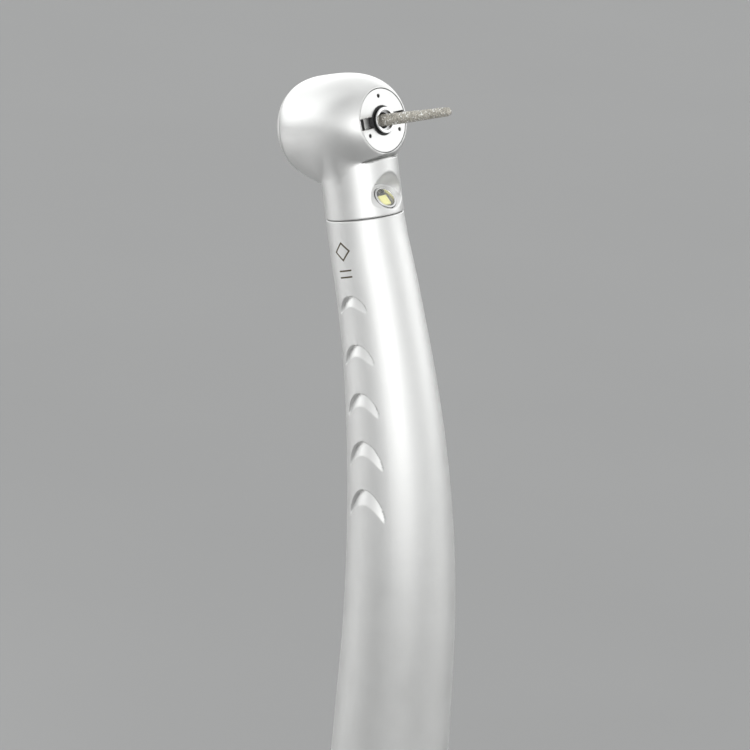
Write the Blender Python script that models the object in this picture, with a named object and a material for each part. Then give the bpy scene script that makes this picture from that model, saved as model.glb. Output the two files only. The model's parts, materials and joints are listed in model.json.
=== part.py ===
"""A high speed dental handpiece: an air turbine head on a curved grip, with a lamp under the head, a small
generator that feeds the lamp, and a four-hole connector at its tail.

Every sub-part is its own closed object. Lengths in this file are millimetres, turned into metres by MM.
World frame: the rear axis of the grip is +Z, the tail's end face is z = 0, and the bur points to -Y.
"""

import math

import bmesh
import bpy
from mathutils import Matrix, Vector

MM = 0.001

# ---------------------------------------------------------------- driving dimensions, mm and degrees

# Centreline of the grip: straight from the tail, a long arc back, then a short arc forward.
BENDS = ((64.0, 130.0, 19.6), (110.5, 50.0, -4.6))  # (length at the start, radius, degrees)
JOINT_AT = 114.5  # length along the centreline at which the head's neck meets the grip
NECK_TILT = 15.0
HEAD_TILT = 19.6
HEAD_UP = 9.79  # head axis above the joint, along the neck
HEAD_BACK = 0.94  # and behind the neck's axis

# Head barrel, measured behind its front face along the bur's axis.
FACE_AHEAD = 5.43  # front face to the neck's axis
HEAD_RADIUS = 5.70
WIDEST_AT = 7.5
NOSE_REACH = 8.92
BACK_REACH = 5.88
HOUSING_END = 10.9
BELLY_RADIUS = 4.75
BELLY_BACK = 1.5
BELLY_UP = 7.45
NOSE_TRIM = (3.62, 0.25, 4.2)  # the flat under the nose: drop, drop per depth, and depth of its end
UNDERCUT = (0.32, 1.7)  # slit between the nose's flat and the neck: height, and depth of its end
UNDERCUT_SPREAD = 0.12  # how far the slit reaches outside the barrel's round surface
SEAM_CHAMFER = 0.16  # on both sides of the seam between the housing and its back cap
NECK_RADIUS = 4.27
NECK_BORE = (0.6, 2.65)  # centre behind the neck's axis, and radius
SPIGOT_RADIUS = 3.7
SPIGOT_LENGTH = 5.0

COVER_RADIUS = 3.45
COVER_DEPTH = 1.15
COVER_BORE = 1.62
COVER_SET_BACK = 0.06  # below the rim of the housing
SPRAY_CIRCLE = 2.67
SPRAY_HOLE = 0.2
SLOT_WIDTH = 1.2
SLOT_END = 3.36
SLOT_DEPTH = 0.5
POCKET_START = 2.45  # each slot ends in a pocket through the cover

# Turbine cartridge.
SPINDLE_RADIUS = 1.50
NOSE_RADIUS = 1.42
NOSE_PROUD = 0.42
NOSE_FLANGE = 0.14
NOSE_WAIST = 1.24
SPINDLE_END = 10.3
SPINDLE_BORE = 1.15
SHANK_RADIUS = 0.80
COLLET_RADIUS = 1.12
COLLET_BORE = 0.83
RACE_WIDTH = 2.4
INNER_RACE = (1.53, 1.86)
OUTER_RACE = (2.86, 3.175)
CAGE_RADII = (2.14, 2.58)
CAGE_HALF = 0.62
BALL_PITCH = 2.36
BALL_RADIUS = 0.46
BALLS = 7
FRONT_BEARING_AT = 1.5
REAR_BEARING_AT = 8.0
IMPELLER_RADIUS = 3.7
IMPELLER_SPAN = (4.5, 7.5)
BLADES = 10

# Bur: a 1.6 mm friction-grip shank with a tapered, round-ended diamond section.
BUR_REACH = 10.0  # ahead of the front face
BUR_TAIL = 9.0
BUR_ROOT = 0.67
BUR_TIP = 0.49

# Back cap and its push button.
CAP_END = 12.3
CAP_HOLE = 3.42
CAP_BORE = 3.95
CAP_SKIRT = 4.45
BUTTON_RADIUS = 3.36
BUTTON_FLANGE = 3.85
BUTTON_TOP = 12.65

# Lamp: its lens faces the bur's tip.
LAMP_AHEAD = 3.35
LAMP_UP = 1.8
LAMP_TILT = 36.3
LAMP_NOTCH = (2.3, 1.72)  # half-width and half-height of the pocket over the lens
LENS_BASE = -0.15
BOARD_SPAN = (-0.85, -0.50)
CHIP_CENTRE = (0.11, -0.08)
CHIP_HALF = 0.60
CHIP_SPAN = (-0.48, -0.30)
LAMP_RADIUS = 1.32

SEAT_START = 108.5  # where the bore narrows to hold the head's spigot

# Grip shell, as (length along the centreline, radius).
GRIP_OUTSIDE = (
    (10.5, 6.45), (20.0, 6.68), (30.0, 6.76), (46.0, 6.60), (63.0, 6.27), (70.0, 6.12), (77.0, 5.93),
    (84.0, 5.64), (90.0, 5.35), (96.0, 5.01), (102.0, 4.68), (SEAT_START, 4.43), (110.5, 4.36),
    (114.42, 4.22),
)
GRIP_WALL = 0.85
SPIGOT_SEAT = 3.75
TAIL_SEAT = 5.80
CRESCENTS = 5
CRESCENT_FIRST = 106.3
CRESCENT_STEP = 5.29
CRESCENT_DEPTH = 0.42

# Tail connector.
THREAD_CREST = 5.55
THREAD_ROOT = 5.20
THREAD_TURNS = 4
THREAD_PITCH = 1.4
DRIVE_HOLE = (0.0, 2.9, 1.30)  # x, y, radius
EXHAUST_HOLE = (0.0, -2.8, 1.60)
WATER_HOLE = (-3.1, 0.0, 0.80)
CHIP_HOLE = (3.1, 0.0, 0.80)
TAIL_BODY_END = 16.3
TAIL_RADIUS = 5.74
SHOULDER_AT = 10.45
NUT_SPAN = (6.7, 10.38)
NUT_RADII = (6.22, 6.42)
FLUTES = 24

# Generator, along the rear axis.
GEN_SPAN = (20.0, 42.0)
GEN_RADIUS = 3.5
GEN_BORE = 3.05
GEN_CAP = 1.5
GEN_SHAFT = 0.48
MAGNET_SPAN = (28.5, 37.5)
STATOR_SPAN = (28.0, 38.0)
STATOR_TEETH = 3
FAN_SPAN = (22.6, 25.6)
FAN_BLADES = 8

TOOL_TURN = 0.06  # radians by which round cutters are rotated

MATERIALS = {
    "satin_steel": ((0.86, 0.86, 0.85), 0.38, 1.0),
    "polished_steel": ((0.80, 0.80, 0.80), 0.16, 1.0),
    "bearing_steel": ((0.62, 0.63, 0.65), 0.20, 1.0),
    "ceramic": ((0.88, 0.88, 0.84), 0.30, 0.0),
    "cage_resin": ((0.42, 0.25, 0.12), 0.50, 0.0),
    "aluminium": ((0.78, 0.79, 0.80), 0.35, 1.0),
    "brass": ((0.78, 0.60, 0.28), 0.30, 1.0),
    "diamond_grit": ((0.52, 0.50, 0.45), 0.60, 0.6),
    "black_rubber": ((0.03, 0.03, 0.03), 0.70, 0.0),
    "clear_glass": ((0.95, 0.97, 0.97), 0.05, 0.0),
    "phosphor": ((0.93, 0.88, 0.36), 0.45, 0.0),
    "circuit_board": ((0.85, 0.85, 0.82), 0.50, 0.0),
    "magnet": ((0.25, 0.25, 0.27), 0.30, 0.9),
    "copper": ((0.76, 0.36, 0.20), 0.30, 1.0),
    "red_wire": ((0.60, 0.05, 0.04), 0.50, 0.0),
    "black_wire": ((0.04, 0.04, 0.04), 0.50, 0.0),
    "silicone": ((0.75, 0.80, 0.82), 0.45, 0.0),
}


# ---------------------------------------------------------------- small tools


def clear_scene():
    for thing in list(bpy.data.objects):
        bpy.data.objects.remove(thing)


def make_materials():
    made = {}
    for name, (colour, roughness, metallic) in MATERIALS.items():
        material = bpy.data.materials.new(name)
        material.use_nodes = True
        shader = material.node_tree.nodes["Principled BSDF"]
        shader.inputs["Base Color"].default_value = (*colour, 1.0)
        shader.inputs["Roughness"].default_value = roughness
        shader.inputs["Metallic"].default_value = metallic
        made[name] = material
    return made


def add_frame(name, location, tilt_x, tilt_y=0.0):
    """An empty at a point in millimetres, turned about world Y and then about world X, in degrees."""
    frame = bpy.data.objects.new(name, None)
    frame.location = Vector(location) * MM
    frame.rotation_euler = (math.radians(tilt_x), math.radians(tilt_y), 0.0)
    bpy.context.scene.collection.objects.link(frame)
    return frame


def add_object(name, bm, material, frame=None, smooth_angle=35.0):
    """Makes an object of a bmesh drawn in millimetres."""
    bmesh.ops.recalc_face_normals(bm, faces=bm.faces)
    bmesh.ops.scale(bm, vec=(MM, MM, MM), verts=bm.verts)
    mesh = bpy.data.meshes.new(name)
    bm.to_mesh(mesh)
    bm.free()
    mesh.shade_smooth()
    mesh.set_sharp_from_angle(angle=math.radians(smooth_angle))
    thing = bpy.data.objects.new(name, mesh)
    bpy.context.scene.collection.objects.link(thing)
    if material:
        mesh.materials.append(MADE[material])
    if frame:
        thing.parent = frame
    return thing


def as_helper(thing):
    thing.hide_render = True
    thing.display_type = "WIRE"
    return thing


def combine(target, tool, operation):
    """Joins or cuts target with another mesh, which is then only a helper."""
    modifier = target.modifiers.new(tool.name, "BOOLEAN")
    modifier.operation = operation
    modifier.object = as_helper(tool)
    modifier.solver = "EXACT"


def cut(target, *tools):
    for tool in tools:
        combine(target, tool, "DIFFERENCE")


def join(target, *tools):
    for tool in tools:
        combine(target, tool, "UNION")


def circle(radius, sides, start=0.0):
    return [
        (radius * math.cos(start + math.tau * i / sides), radius * math.sin(start + math.tau * i / sides))
        for i in range(sides)
    ]


def repeated(pattern, count):
    """A closed outline that repeats (share of a turn, radius) points count times round a circle."""
    turns = [(math.tau * (i + share) / count, radius) for i in range(count) for share, radius in pattern]
    return [(radius * math.cos(angle), radius * math.sin(angle)) for angle, radius in turns]


def at_radius(outline, radius):
    return [Vector(point).normalized() * radius for point in outline]


def add_turned(bm, profile, sides, centre=(0.0, 0.0, 0.0), start=0.0):
    """Turns a closed outline of (radius, height) points about Z. A radius of 0 is a point on the axis."""
    rings = []
    for radius, height in profile:
        around = circle(radius, sides, start) if radius else [(0.0, 0.0)]
        rings.append([bm.verts.new((centre[0] + x, centre[1] + y, centre[2] + height)) for x, y in around])
    for low, high in zip(rings, rings[1:] + rings[:1]):
        for i in range(sides):
            j = (i + 1) % sides
            corners = [low[i % len(low)], low[j % len(low)], high[j % len(high)], high[i % len(high)]]
            corners = list(dict.fromkeys(corners))
            if len(corners) > 2:
                bm.faces.new(corners)


def turned(name, profile, sides, material, frame=None, smooth_angle=35.0):
    bm = bmesh.new()
    add_turned(bm, profile, sides)
    return add_object(name, bm, material, frame, smooth_angle)


def turned_tool(name, profile, sides, frame=None):
    """A turned cutter, rotated so that its edges don't run along the edges of the part it cuts."""
    bm = bmesh.new()
    add_turned(bm, profile, sides, start=TOOL_TURN)
    return add_object(name, bm, None, frame)


def tube_profile(inner, outer, low, high):
    return [(inner, low), (outer, low), (outer, high), (inner, high)]


def rod_profile(radius, low, high):
    return [(0.0, low), (radius, low), (radius, high), (0.0, high)]


def torus(name, ring_radius, section_radius, height, material, frame, sides=24, section_sides=6):
    section = [(ring_radius + x, height + z) for x, z in circle(section_radius, section_sides, math.pi / 6)]
    return turned(name, section, sides, material, frame, smooth_angle=60.0)


def add_ring_prism(bm, outer, inner, low, high):
    """A straight ring between two outlines with the same number of points."""
    loops = [
        [bm.verts.new((x, y, z)) for x, y in outline]
        for outline, z in ((inner, low), (outer, low), (outer, high), (inner, high))
    ]
    count = len(outer)
    for near, far in zip(loops, loops[1:] + loops[:1]):
        for i in range(count):
            j = (i + 1) % count
            bm.faces.new((near[i], near[j], far[j], far[i]))


def ring_prism(name, outer, inner, low, high, material, frame=None):
    bm = bmesh.new()
    add_ring_prism(bm, outer, inner, low, high)
    return add_object(name, bm, material, frame, smooth_angle=25.0)


def add_prism(bm, outline, half):
    """A straight prism from -half to half along X, whose cross-section is an outline of (y, z) points."""
    ends = [[bm.verts.new((x, y, z)) for y, z in outline] for x in (-half, half)]
    for i in range(len(outline)):
        j = (i + 1) % len(outline)
        bm.faces.new((ends[0][i], ends[0][j], ends[1][j], ends[1][i]))
    for end in ends:
        bm.faces.new(end)


def block(name, low, high, material=None, frame=None):
    bm = bmesh.new()
    bmesh.ops.create_cube(bm, size=1.0)
    size = Vector(high) - Vector(low)
    bmesh.ops.scale(bm, vec=size, verts=bm.verts)
    bmesh.ops.translate(bm, vec=(Vector(low) + Vector(high)) / 2, verts=bm.verts)
    return add_object(name, bm, material, frame)


def drills(name, holes, low, high, frame=None, sides=12):
    """Straight cutters: one cylinder for each (x, y, radius), from low to high along Z."""
    bm = bmesh.new()
    for x, y, radius in holes:
        add_turned(bm, rod_profile(radius, low, high), sides, (x, y, 0.0), TOOL_TURN)
    return add_object(name, bm, None, frame)


def wave_washer(name, inner, outer, height, swing, waves, thickness, material, frame, sides=24):
    bm = bmesh.new()
    stations = []
    for i in range(sides):
        angle = math.tau * i / sides
        middle = height + swing * math.sin(waves * angle)
        corners = [(r, z) for r, z in tube_profile(inner, outer, -thickness / 2, thickness / 2)]
        stations.append(
            [bm.verts.new((r * math.cos(angle), r * math.sin(angle), middle + z)) for r, z in corners]
        )
    for near, far in zip(stations, stations[1:] + stations[:1]):
        for i in range(4):
            j = (i + 1) % 4
            bm.faces.new((near[i], near[j], far[j], far[i]))
    return add_object(name, bm, material, frame)


# ---------------------------------------------------------------- the centreline


def heading(angle):
    """Unit vector at an angle from +Z towards +Y."""
    return Vector((0.0, math.sin(angle), math.cos(angle)))


def on_centreline(length):
    """(point, tangent, back) at a length from the tail. back is a unit vector away from the bur's side."""
    point, angle, reached = Vector(), 0.0, 0.0
    for start, radius, degrees in BENDS:
        point += heading(angle) * max(min(length, start) - reached, 0.0)
        whole = radius * math.radians(abs(degrees))
        turned_by = math.copysign(min(max(length - start, 0.0), whole) / radius, degrees)
        chord = 2.0 * radius * math.sin(abs(turned_by) / 2.0)
        point += heading(angle + turned_by / 2.0) * chord
        angle += turned_by
        reached = start + whole
    point += heading(angle) * max(length - reached, 0.0)
    return point, heading(angle), heading(angle + math.pi / 2)


def interpolate(stations, length, eased=False):
    """Values at a length through (length, value, ...) stations. Eased, a tube has no kink at a station."""
    if length <= stations[0][0]:
        return tuple(stations[0][1:])
    for near, far in zip(stations, stations[1:]):
        if length <= far[0]:
            share = (length - near[0]) / (far[0] - near[0])
            if eased:
                share = share * share * (3.0 - 2.0 * share)
            return tuple(a + (b - a) * share for a, b in zip(near[1:], far[1:]))
    return tuple(stations[-1][1:])


def offset_point(length, sideways, backwards):
    point, _, back = on_centreline(length)
    return point + Vector((sideways, 0.0, 0.0)) + back * backwards


def add_sweep(bm, rings):
    """Skins closed loops of vertices along rings: each ring holds (outer points, inner points)."""
    made = [
        ([bm.verts.new(p) for p in outer], [bm.verts.new(p) for p in inner] if inner else None)
        for outer, inner in rings
    ]
    count = len(made[0][0])
    for (near_out, near_in), (far_out, far_in) in zip(made, made[1:]):
        for i in range(count):
            j = (i + 1) % count
            bm.faces.new((near_out[i], near_out[j], far_out[j], far_out[i]))
            if near_in:
                bm.faces.new((near_in[i], near_in[j], far_in[j], far_in[i]))
    for outer, inner in (made[0], made[-1]):
        if not inner:
            bm.faces.new(outer)
            continue
        for i in range(count):
            j = (i + 1) % count
            bm.faces.new((outer[i], outer[j], inner[j], inner[i]))


def ring_points(centre, side, up, radius, sides):
    return [centre + side * x + up * y for x, y in circle(radius, sides)]


def routed_tube(name, route, lengths, outer, inner, material, sides=8):
    """A tube, or a rod where inner is None, through eased (length, sideways, backwards) stations."""
    points = [offset_point(length, *interpolate(route, length, eased=True)) for length in lengths]
    side = Vector((1.0, 0.0, 0.0))
    rings = []
    for i, point in enumerate(points):
        ahead = points[min(i + 1, len(points) - 1)] - points[max(i - 1, 0)]
        ahead.normalize()
        side = (side - ahead * side.dot(ahead)).normalized()
        up = ahead.cross(side)
        rings.append(
            (
                ring_points(point, side, up, outer, sides),
                ring_points(point, side, up, inner, sides) if inner else None,
            )
        )
    bm = bmesh.new()
    add_sweep(bm, rings)
    return add_object(name, bm, material, smooth_angle=60.0)


def lengths_between(start, end, straight_step=9.0, curved_step=5.0):
    """Stations from start to end, closer together where the centreline or the routes bend."""
    found = [start]
    while found[-1] < end:
        step = straight_step if 46.0 < found[-1] < BENDS[0][0] - straight_step else curved_step
        found.append(min(found[-1] + step, end))
    return found


# ---------------------------------------------------------------- head


def head_radius(depth):
    """Outside radius of the head barrel at a depth behind its front face."""
    reach = NOSE_REACH if depth < WIDEST_AT else BACK_REACH
    return HEAD_RADIUS * math.sqrt(1.0 - abs((depth - WIDEST_AT) / reach) ** 3)


def nose_flat(depth):
    """How far below the head's axis the flat under the nose lies."""
    return NOSE_TRIM[0] + NOSE_TRIM[1] * depth


def make_head_housing():
    depths = [0.0, 0.4, 0.9, 1.6, 2.5, 3.6, 5.0, 7.0, 8.6, 9.8, HOUSING_END - SEAM_CHAMFER]
    end_radius = head_radius(HOUSING_END) - SEAM_CHAMFER
    barrel = [(0.0, 0.0)] + [(head_radius(s), s) for s in depths]
    barrel += [(end_radius, HOUSING_END), (0.0, HOUSING_END)]
    housing = turned("head_housing", barrel, 40, "satin_steel", FACE)

    belly = bmesh.new()
    bmesh.ops.create_uvsphere(belly, u_segments=24, v_segments=13, radius=BELLY_RADIUS)
    bmesh.ops.translate(belly, vec=(0.0, BELLY_BACK, BELLY_UP), verts=belly.verts)
    trim_end = NOSE_TRIM[2]
    trim = bmesh.new()
    wedge = [(nose_flat(-1.0), -1.0), (nose_flat(trim_end), trim_end), (9.0, trim_end), (9.0, -1.0)]
    add_prism(trim, wedge, 7.0)
    gap, slit_end = UNDERCUT
    slit = bmesh.new()
    corners = ((-1.0, 0.0), (slit_end, 0.0), (slit_end, gap), (-1.0, gap))
    add_prism(slit, [(nose_flat(depth) + lower, depth) for depth, lower in corners], 6.7)
    undercut = add_object("undercut_tool", slit, None, FACE)
    last = slit_end + 0.5
    spread = [(head_radius(max(s, 0.0)) + UNDERCUT_SPREAD, s) for s in (-0.5, 0.0, 0.6, 1.2, last)]
    limit = turned_tool("undercut_limit", [(0.0, -0.5), *spread, (0.0, last)], 44, FACE)
    combine(undercut, limit, "INTERSECT")
    neck = [
        (0.0, -SPIGOT_LENGTH), (SPIGOT_RADIUS, -SPIGOT_LENGTH), (SPIGOT_RADIUS, -3.25), (3.25, -3.2),
        (3.25, -2.4), (SPIGOT_RADIUS, -2.35), (SPIGOT_RADIUS, 0.0), (NECK_RADIUS, 0.0),
        (NECK_RADIUS, 5.0), (3.9, HEAD_UP - 1.0), (0.0, HEAD_UP - 1.0),
    ]
    join(housing, add_object("belly_tool", belly, None, NECK))
    cut(housing, add_object("nose_trim_tool", trim, None, FACE))
    join(housing, turned_tool("neck_tool", neck, 32, NECK))
    cut(housing, undercut)

    stepped_bore = [
        (0.0, -1.0), (COVER_RADIUS + 0.05, -1.0), (COVER_RADIUS + 0.05, 2.1), (CAP_BORE, 2.1),
        (CAP_BORE, 4.15), (4.15, 4.15), (4.15, 7.9), (CAP_SKIRT + 0.05, 7.9), (CAP_SKIRT + 0.05, 12.0),
        (0.0, 12.0),
    ]
    bore_back, bore_radius = NECK_BORE
    notch = bmesh.new()
    add_turned(notch, rod_profile(LAMP_NOTCH[1], 0.0, 6.0), 24, start=TOOL_TURN)
    bmesh.ops.scale(notch, vec=(LAMP_NOTCH[0] / LAMP_NOTCH[1], 1.0, 1.0), verts=notch.verts)
    lamp_hole = rod_profile(LAMP_RADIUS + 0.05, -3.2, 0.5)
    cut(
        housing,
        turned_tool("head_bore_tool", stepped_bore, 36, FACE),
        drills("neck_bore_tool", [(0.0, bore_back, bore_radius)], -6.0, 4.6, NECK, 28),
        drills("port_tool", (DRIVE_PORT, EXHAUST_PORT), 4.1, 7.0, NECK, 13),
        add_object("lamp_notch_tool", notch, None, LAMP),
        turned_tool("lamp_hole_tool", lamp_hole, 20, LAMP),
    )


def make_front_cover():
    chamfer = 0.07
    top = COVER_SET_BACK
    outline = [
        (COVER_BORE, COVER_DEPTH), (COVER_BORE, top + chamfer), (COVER_BORE + chamfer, top),
        (COVER_RADIUS - chamfer, top), (COVER_RADIUS, top + chamfer), (COVER_RADIUS, COVER_DEPTH),
    ]
    cover = turned("front_cover", outline, 32, "satin_steel", FACE)
    holes = []
    for i in range(3):
        angle = -math.pi / 2 + math.tau * i / 3
        holes.append((SPRAY_CIRCLE * math.cos(angle), SPRAY_CIRCLE * math.sin(angle), SPRAY_HOLE))
    half = SLOT_WIDTH / 2
    bottom = top + SLOT_DEPTH
    cut(
        cover,
        drills("spray_tool", holes, -0.5, 2.0, FACE, 10),
        block("slot_tool", (-SLOT_END, -half, -0.5), (SLOT_END, half, bottom), frame=FACE),
        block("left_pocket_tool", (-SLOT_END, -half, 0.3), (-POCKET_START, half, 2.0), frame=FACE),
        block("right_pocket_tool", (POCKET_START, -half, 0.3), (SLOT_END, half, 2.0), frame=FACE),
    )


def make_back_cap():
    start = HOUSING_END + 0.08
    rim = [(head_radius(start) - SEAM_CHAMFER, start)]
    rim += [(head_radius(s), s) for s in (start + SEAM_CHAMFER, 11.4, 11.8)]
    outline = [
        (CAP_BORE, 8.2), (CAP_SKIRT, 8.2), (CAP_SKIRT, start), *rim,
        (4.05, 12.15), (3.7, CAP_END), (CAP_HOLE, CAP_END), (CAP_HOLE, 11.95), (CAP_BORE, 11.95),
    ]
    turned("back_cap", outline, 36, "satin_steel", FACE)


def make_button():
    body = [
        (0.0, 10.85), (0.9, 10.85), (0.9, 11.55), (BUTTON_FLANGE, 11.55), (BUTTON_FLANGE, 11.9),
        (BUTTON_RADIUS, 11.9), (BUTTON_RADIUS, 12.3), (3.1, 12.45), (2.0, 12.59), (0.0, BUTTON_TOP),
    ]
    turned("push_button", body, 28, "satin_steel", FACE)
    turned("button_seat_plate", tube_profile(1.25, 3.9, 10.8, 11.0), 24, "polished_steel", FACE)
    wave_washer("button_spring", 2.4, 3.4, 11.275, 0.18, 3, 0.1, "bearing_steel", FACE)


def make_spindle():
    bore = SHANK_RADIUS + 0.08
    outline = [
        (1.08, -NOSE_PROUD), (NOSE_RADIUS, -NOSE_PROUD), (NOSE_RADIUS, -NOSE_PROUD + NOSE_FLANGE),
        (NOSE_WAIST, -NOSE_PROUD + NOSE_FLANGE), (NOSE_WAIST, 1.24), (NOSE_RADIUS, 1.28),
        (NOSE_RADIUS, 1.42), (SPINDLE_RADIUS, 1.46), (SPINDLE_RADIUS, SPINDLE_END),
        (SPINDLE_BORE, SPINDLE_END), (SPINDLE_BORE, 1.0), (bore, 1.0), (bore, 0.05), (1.08, 0.0),
    ]
    turned("rotor_spindle", outline, 22, "polished_steel", FACE)


def make_collet():
    sleeve = tube_profile(COLLET_BORE, COLLET_RADIUS, 1.1, 9.3)
    collet = turned("chuck_collet", sleeve, 24, "bearing_steel", FACE)
    half = 0.12
    reach = COLLET_RADIUS + 1.0
    cut(
        collet,
        block("slit_tool_x", (-reach, -half, 4.6), (reach, half, 9.8), frame=FACE),
        block("slit_tool_y", (-half, -reach, 4.6), (half, reach, 9.8), frame=FACE),
    )
    pusher = [(0.0, 9.55), (0.55, 9.55), (0.9, 9.9), (0.9, 10.45), (0.8, 10.5), (0.0, 10.5)]
    turned("chuck_pusher", pusher, 16, "bearing_steel", FACE)


def make_impeller():
    """Ten leaning buckets on a hub: each climbs slowly on one side and falls steeply on the other."""
    bucket = (
        (0.0, 2.15), (0.18, 2.2), (0.36, 2.6), (0.50, 3.25), (0.58, IMPELLER_RADIUS),
        (0.78, IMPELLER_RADIUS), (0.84, 3.0),
    )
    outer = repeated(bucket, BLADES)
    ring_prism("impeller", outer, at_radius(outer, INNER_RACE[0]), *IMPELLER_SPAN, "aluminium", FACE)


def make_bearing(prefix, start):
    middle = start + RACE_WIDTH / 2
    end = start + RACE_WIDTH
    for race, radii in (("_inner_race", INNER_RACE), ("_outer_race", OUTER_RACE)):
        turned(prefix + race, tube_profile(*radii, start, end), 24, "bearing_steel", FACE)
    ring = tube_profile(*CAGE_RADII, middle - CAGE_HALF, middle + CAGE_HALF)
    cage = turned(prefix + "_ball_cage", ring, 24, "cage_resin", FACE)
    balls = bmesh.new()
    for i in range(BALLS):
        angle = math.tau * i / BALLS
        place = Matrix.Translation((BALL_PITCH * math.cos(angle), BALL_PITCH * math.sin(angle), middle))
        bmesh.ops.create_icosphere(balls, subdivisions=1, radius=BALL_RADIUS, matrix=place)
    join(cage, add_object(prefix + "_ball_tool", balls, "ceramic", FACE))
    torus(prefix + "_o_ring", 3.55, 0.33, middle, "black_rubber", FACE)


def make_cartridge_trim():
    turned("front_dust_shield", tube_profile(1.75, 3.1, 1.27, 1.42), 24, "polished_steel", FACE)
    wave_washer("preload_washer", 2.9, 3.6, 10.6, 0.1, 3, 0.1, "bearing_steel", FACE)


def make_bur():
    """Shank, then the plated taper, then a round tip."""
    tip_centre = -BUR_REACH + BUR_TIP
    rounding = [
        (BUR_TIP * math.cos(a), tip_centre - BUR_TIP * math.sin(a))
        for a in (math.radians(d) for d in (60.0, 30.0, 0.0))
    ]
    outline = [
        (0.0, -BUR_REACH), *rounding, (BUR_ROOT, 0.2), (SHANK_RADIUS, 0.6), (SHANK_RADIUS, BUR_TAIL - 0.15),
        (SHANK_RADIUS - 0.15, BUR_TAIL), (0.0, BUR_TAIL),
    ]
    turned("diamond_bur", outline, 20, "diamond_grit", FACE)


def make_lamp():
    inner = LAMP_RADIUS - 0.22
    turned("led_bezel", tube_profile(inner, LAMP_RADIUS, -1.6, 0.1), 24, "polished_steel", LAMP)
    edge = inner - 0.04
    lens = [(0.0, LENS_BASE), (edge, LENS_BASE), (edge, -0.02), (0.75, 0.1), (0.4, 0.16), (0.0, 0.18)]
    turned("led_lens", lens, 24, "clear_glass", LAMP)
    x, y = CHIP_CENTRE
    low, high = CHIP_SPAN
    corners = (x - CHIP_HALF, y - CHIP_HALF, low), (x + CHIP_HALF, y + CHIP_HALF, high)
    block("led_chip", *corners, "phosphor", LAMP)
    turned("led_board", rod_profile(edge, *BOARD_SPAN), 20, "circuit_board", LAMP)
    turned("led_seal_ring", tube_profile(inner - 0.15, LAMP_RADIUS, -2.0, -1.65), 20, "silicone", LAMP)
    torus("neck_o_ring", 3.475, 0.2, -2.8, "black_rubber", NECK)


# ---------------------------------------------------------------- grip


def crescent_outline(half_width, leg, thickness, points=9):
    """A crescent that opens towards -Y: outer arch, then the inner arch back."""
    outer = []
    inner = []
    for i in range(points):
        share = math.sin(math.pi * (i / (points - 1) - 0.5))
        drop = leg * (share * share + 1.0 - math.sqrt(1.0 - min(share * share, 1.0))) / 2.0
        outer.append((share * half_width, -drop))
        if 0 < i < points - 1:
            inner.append((share * half_width, -drop - thickness * math.sqrt(1.0 - share**4)))
    return outer + inner[::-1]


def add_crescent(bm, length, side, index):
    """One crescent cutter that follows the grip's round surface, centred on its +X or -X side."""
    growth = index / (CRESCENTS - 1)
    half_width = 1.95 + 0.75 * growth
    leg = 1.75 + 1.55 * growth
    thickness = 1.15 + 0.50 * growth
    surface = interpolate(GRIP_OUTSIDE, length - 1.0)[0]
    point, tangent, back = on_centreline(length)
    outward = Vector((side, 0.0, 0.0))
    loops = []
    for reach in (surface - CRESCENT_DEPTH, surface + 1.0):
        loops.append([])
        for across, along in crescent_outline(half_width, leg, thickness):
            turn = across / surface
            radial = outward * math.cos(turn) + back * math.sin(turn)
            loops[-1].append(bm.verts.new(point + radial * reach + tangent * along))
    count = len(loops[0])
    for i in range(count):
        j = (i + 1) % count
        bm.faces.new((loops[0][i], loops[0][j], loops[1][j], loops[1][i]))
    for loop in loops:
        bm.faces.new(loop)


def grip_inside(length):
    if length <= TAIL_BODY_END + 0.2:
        return TAIL_SEAT
    if length >= SEAT_START:
        return SPIGOT_SEAT
    return interpolate(GRIP_OUTSIDE, length)[0] - GRIP_WALL


def make_grip():
    """The shell follows the centreline. The seat of the head's spigot is bored straight along the neck."""
    sides = 32
    side = Vector((1.0, 0.0, 0.0))
    rings = []
    for length, radius in GRIP_OUTSIDE:
        point, _, back = on_centreline(length)
        bore_point, bore_back = point, back
        if length >= SEAT_START:
            bore_point, bore_back = joint_point + neck_direction * (length - JOINT_AT), neck_back
        rings.append(
            (
                ring_points(point, side, back, radius, sides),
                ring_points(bore_point, side, bore_back, grip_inside(length), sides),
            )
        )
    bm = bmesh.new()
    add_sweep(bm, rings)
    shell = add_object("handle_shell", bm, "satin_steel")
    cutters = bmesh.new()
    for index in range(CRESCENTS):
        for side in (-1.0, 1.0):
            add_crescent(cutters, CRESCENT_FIRST - index * CRESCENT_STEP, side, index)
    cut(shell, add_object("crescent_tool", cutters, None))


# ---------------------------------------------------------------- lines and wires inside the grip

NECK_TOP = JOINT_AT + 4.3
LINE_START = 15.6
BESIDE_GENERATOR = 4.6
WIRE_START = 42.3
WIRE_END = 113.0
DRIVE_START = 41.6
DRIVE_BACK = 1.9
INLET_BACK = 1.8
WIRE_EXIT = (1.1, -1.9)  # to each side, and behind the axis
DRIVE_PORT = (-1.05, 1.7, 0.86)  # x, y in the neck's frame, and radius
EXHAUST_PORT = (1.15, 1.6, 1.00)


def line_route(side, lead):
    """Stations of a thin line that runs beside the generator, then close to the grip's middle."""
    return (
        (LINE_START, side * CHIP_HOLE[0], 0.0), (18.6, side * BESIDE_GENERATOR, 0.0),
        (43.5, side * BESIDE_GENERATOR, 0.0), (60.0, side * 1.9, lead),
    )


def wire_route(side):
    return (
        (WIRE_START, side * WIRE_EXIT[0], WIRE_EXIT[1]), (50.0, side * 0.6, -2.0),
        (100.0, side * 0.6, -1.9), (108.0, side * 0.5, -1.3), (WIRE_END, side * 0.5, -1.1),
    )


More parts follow.
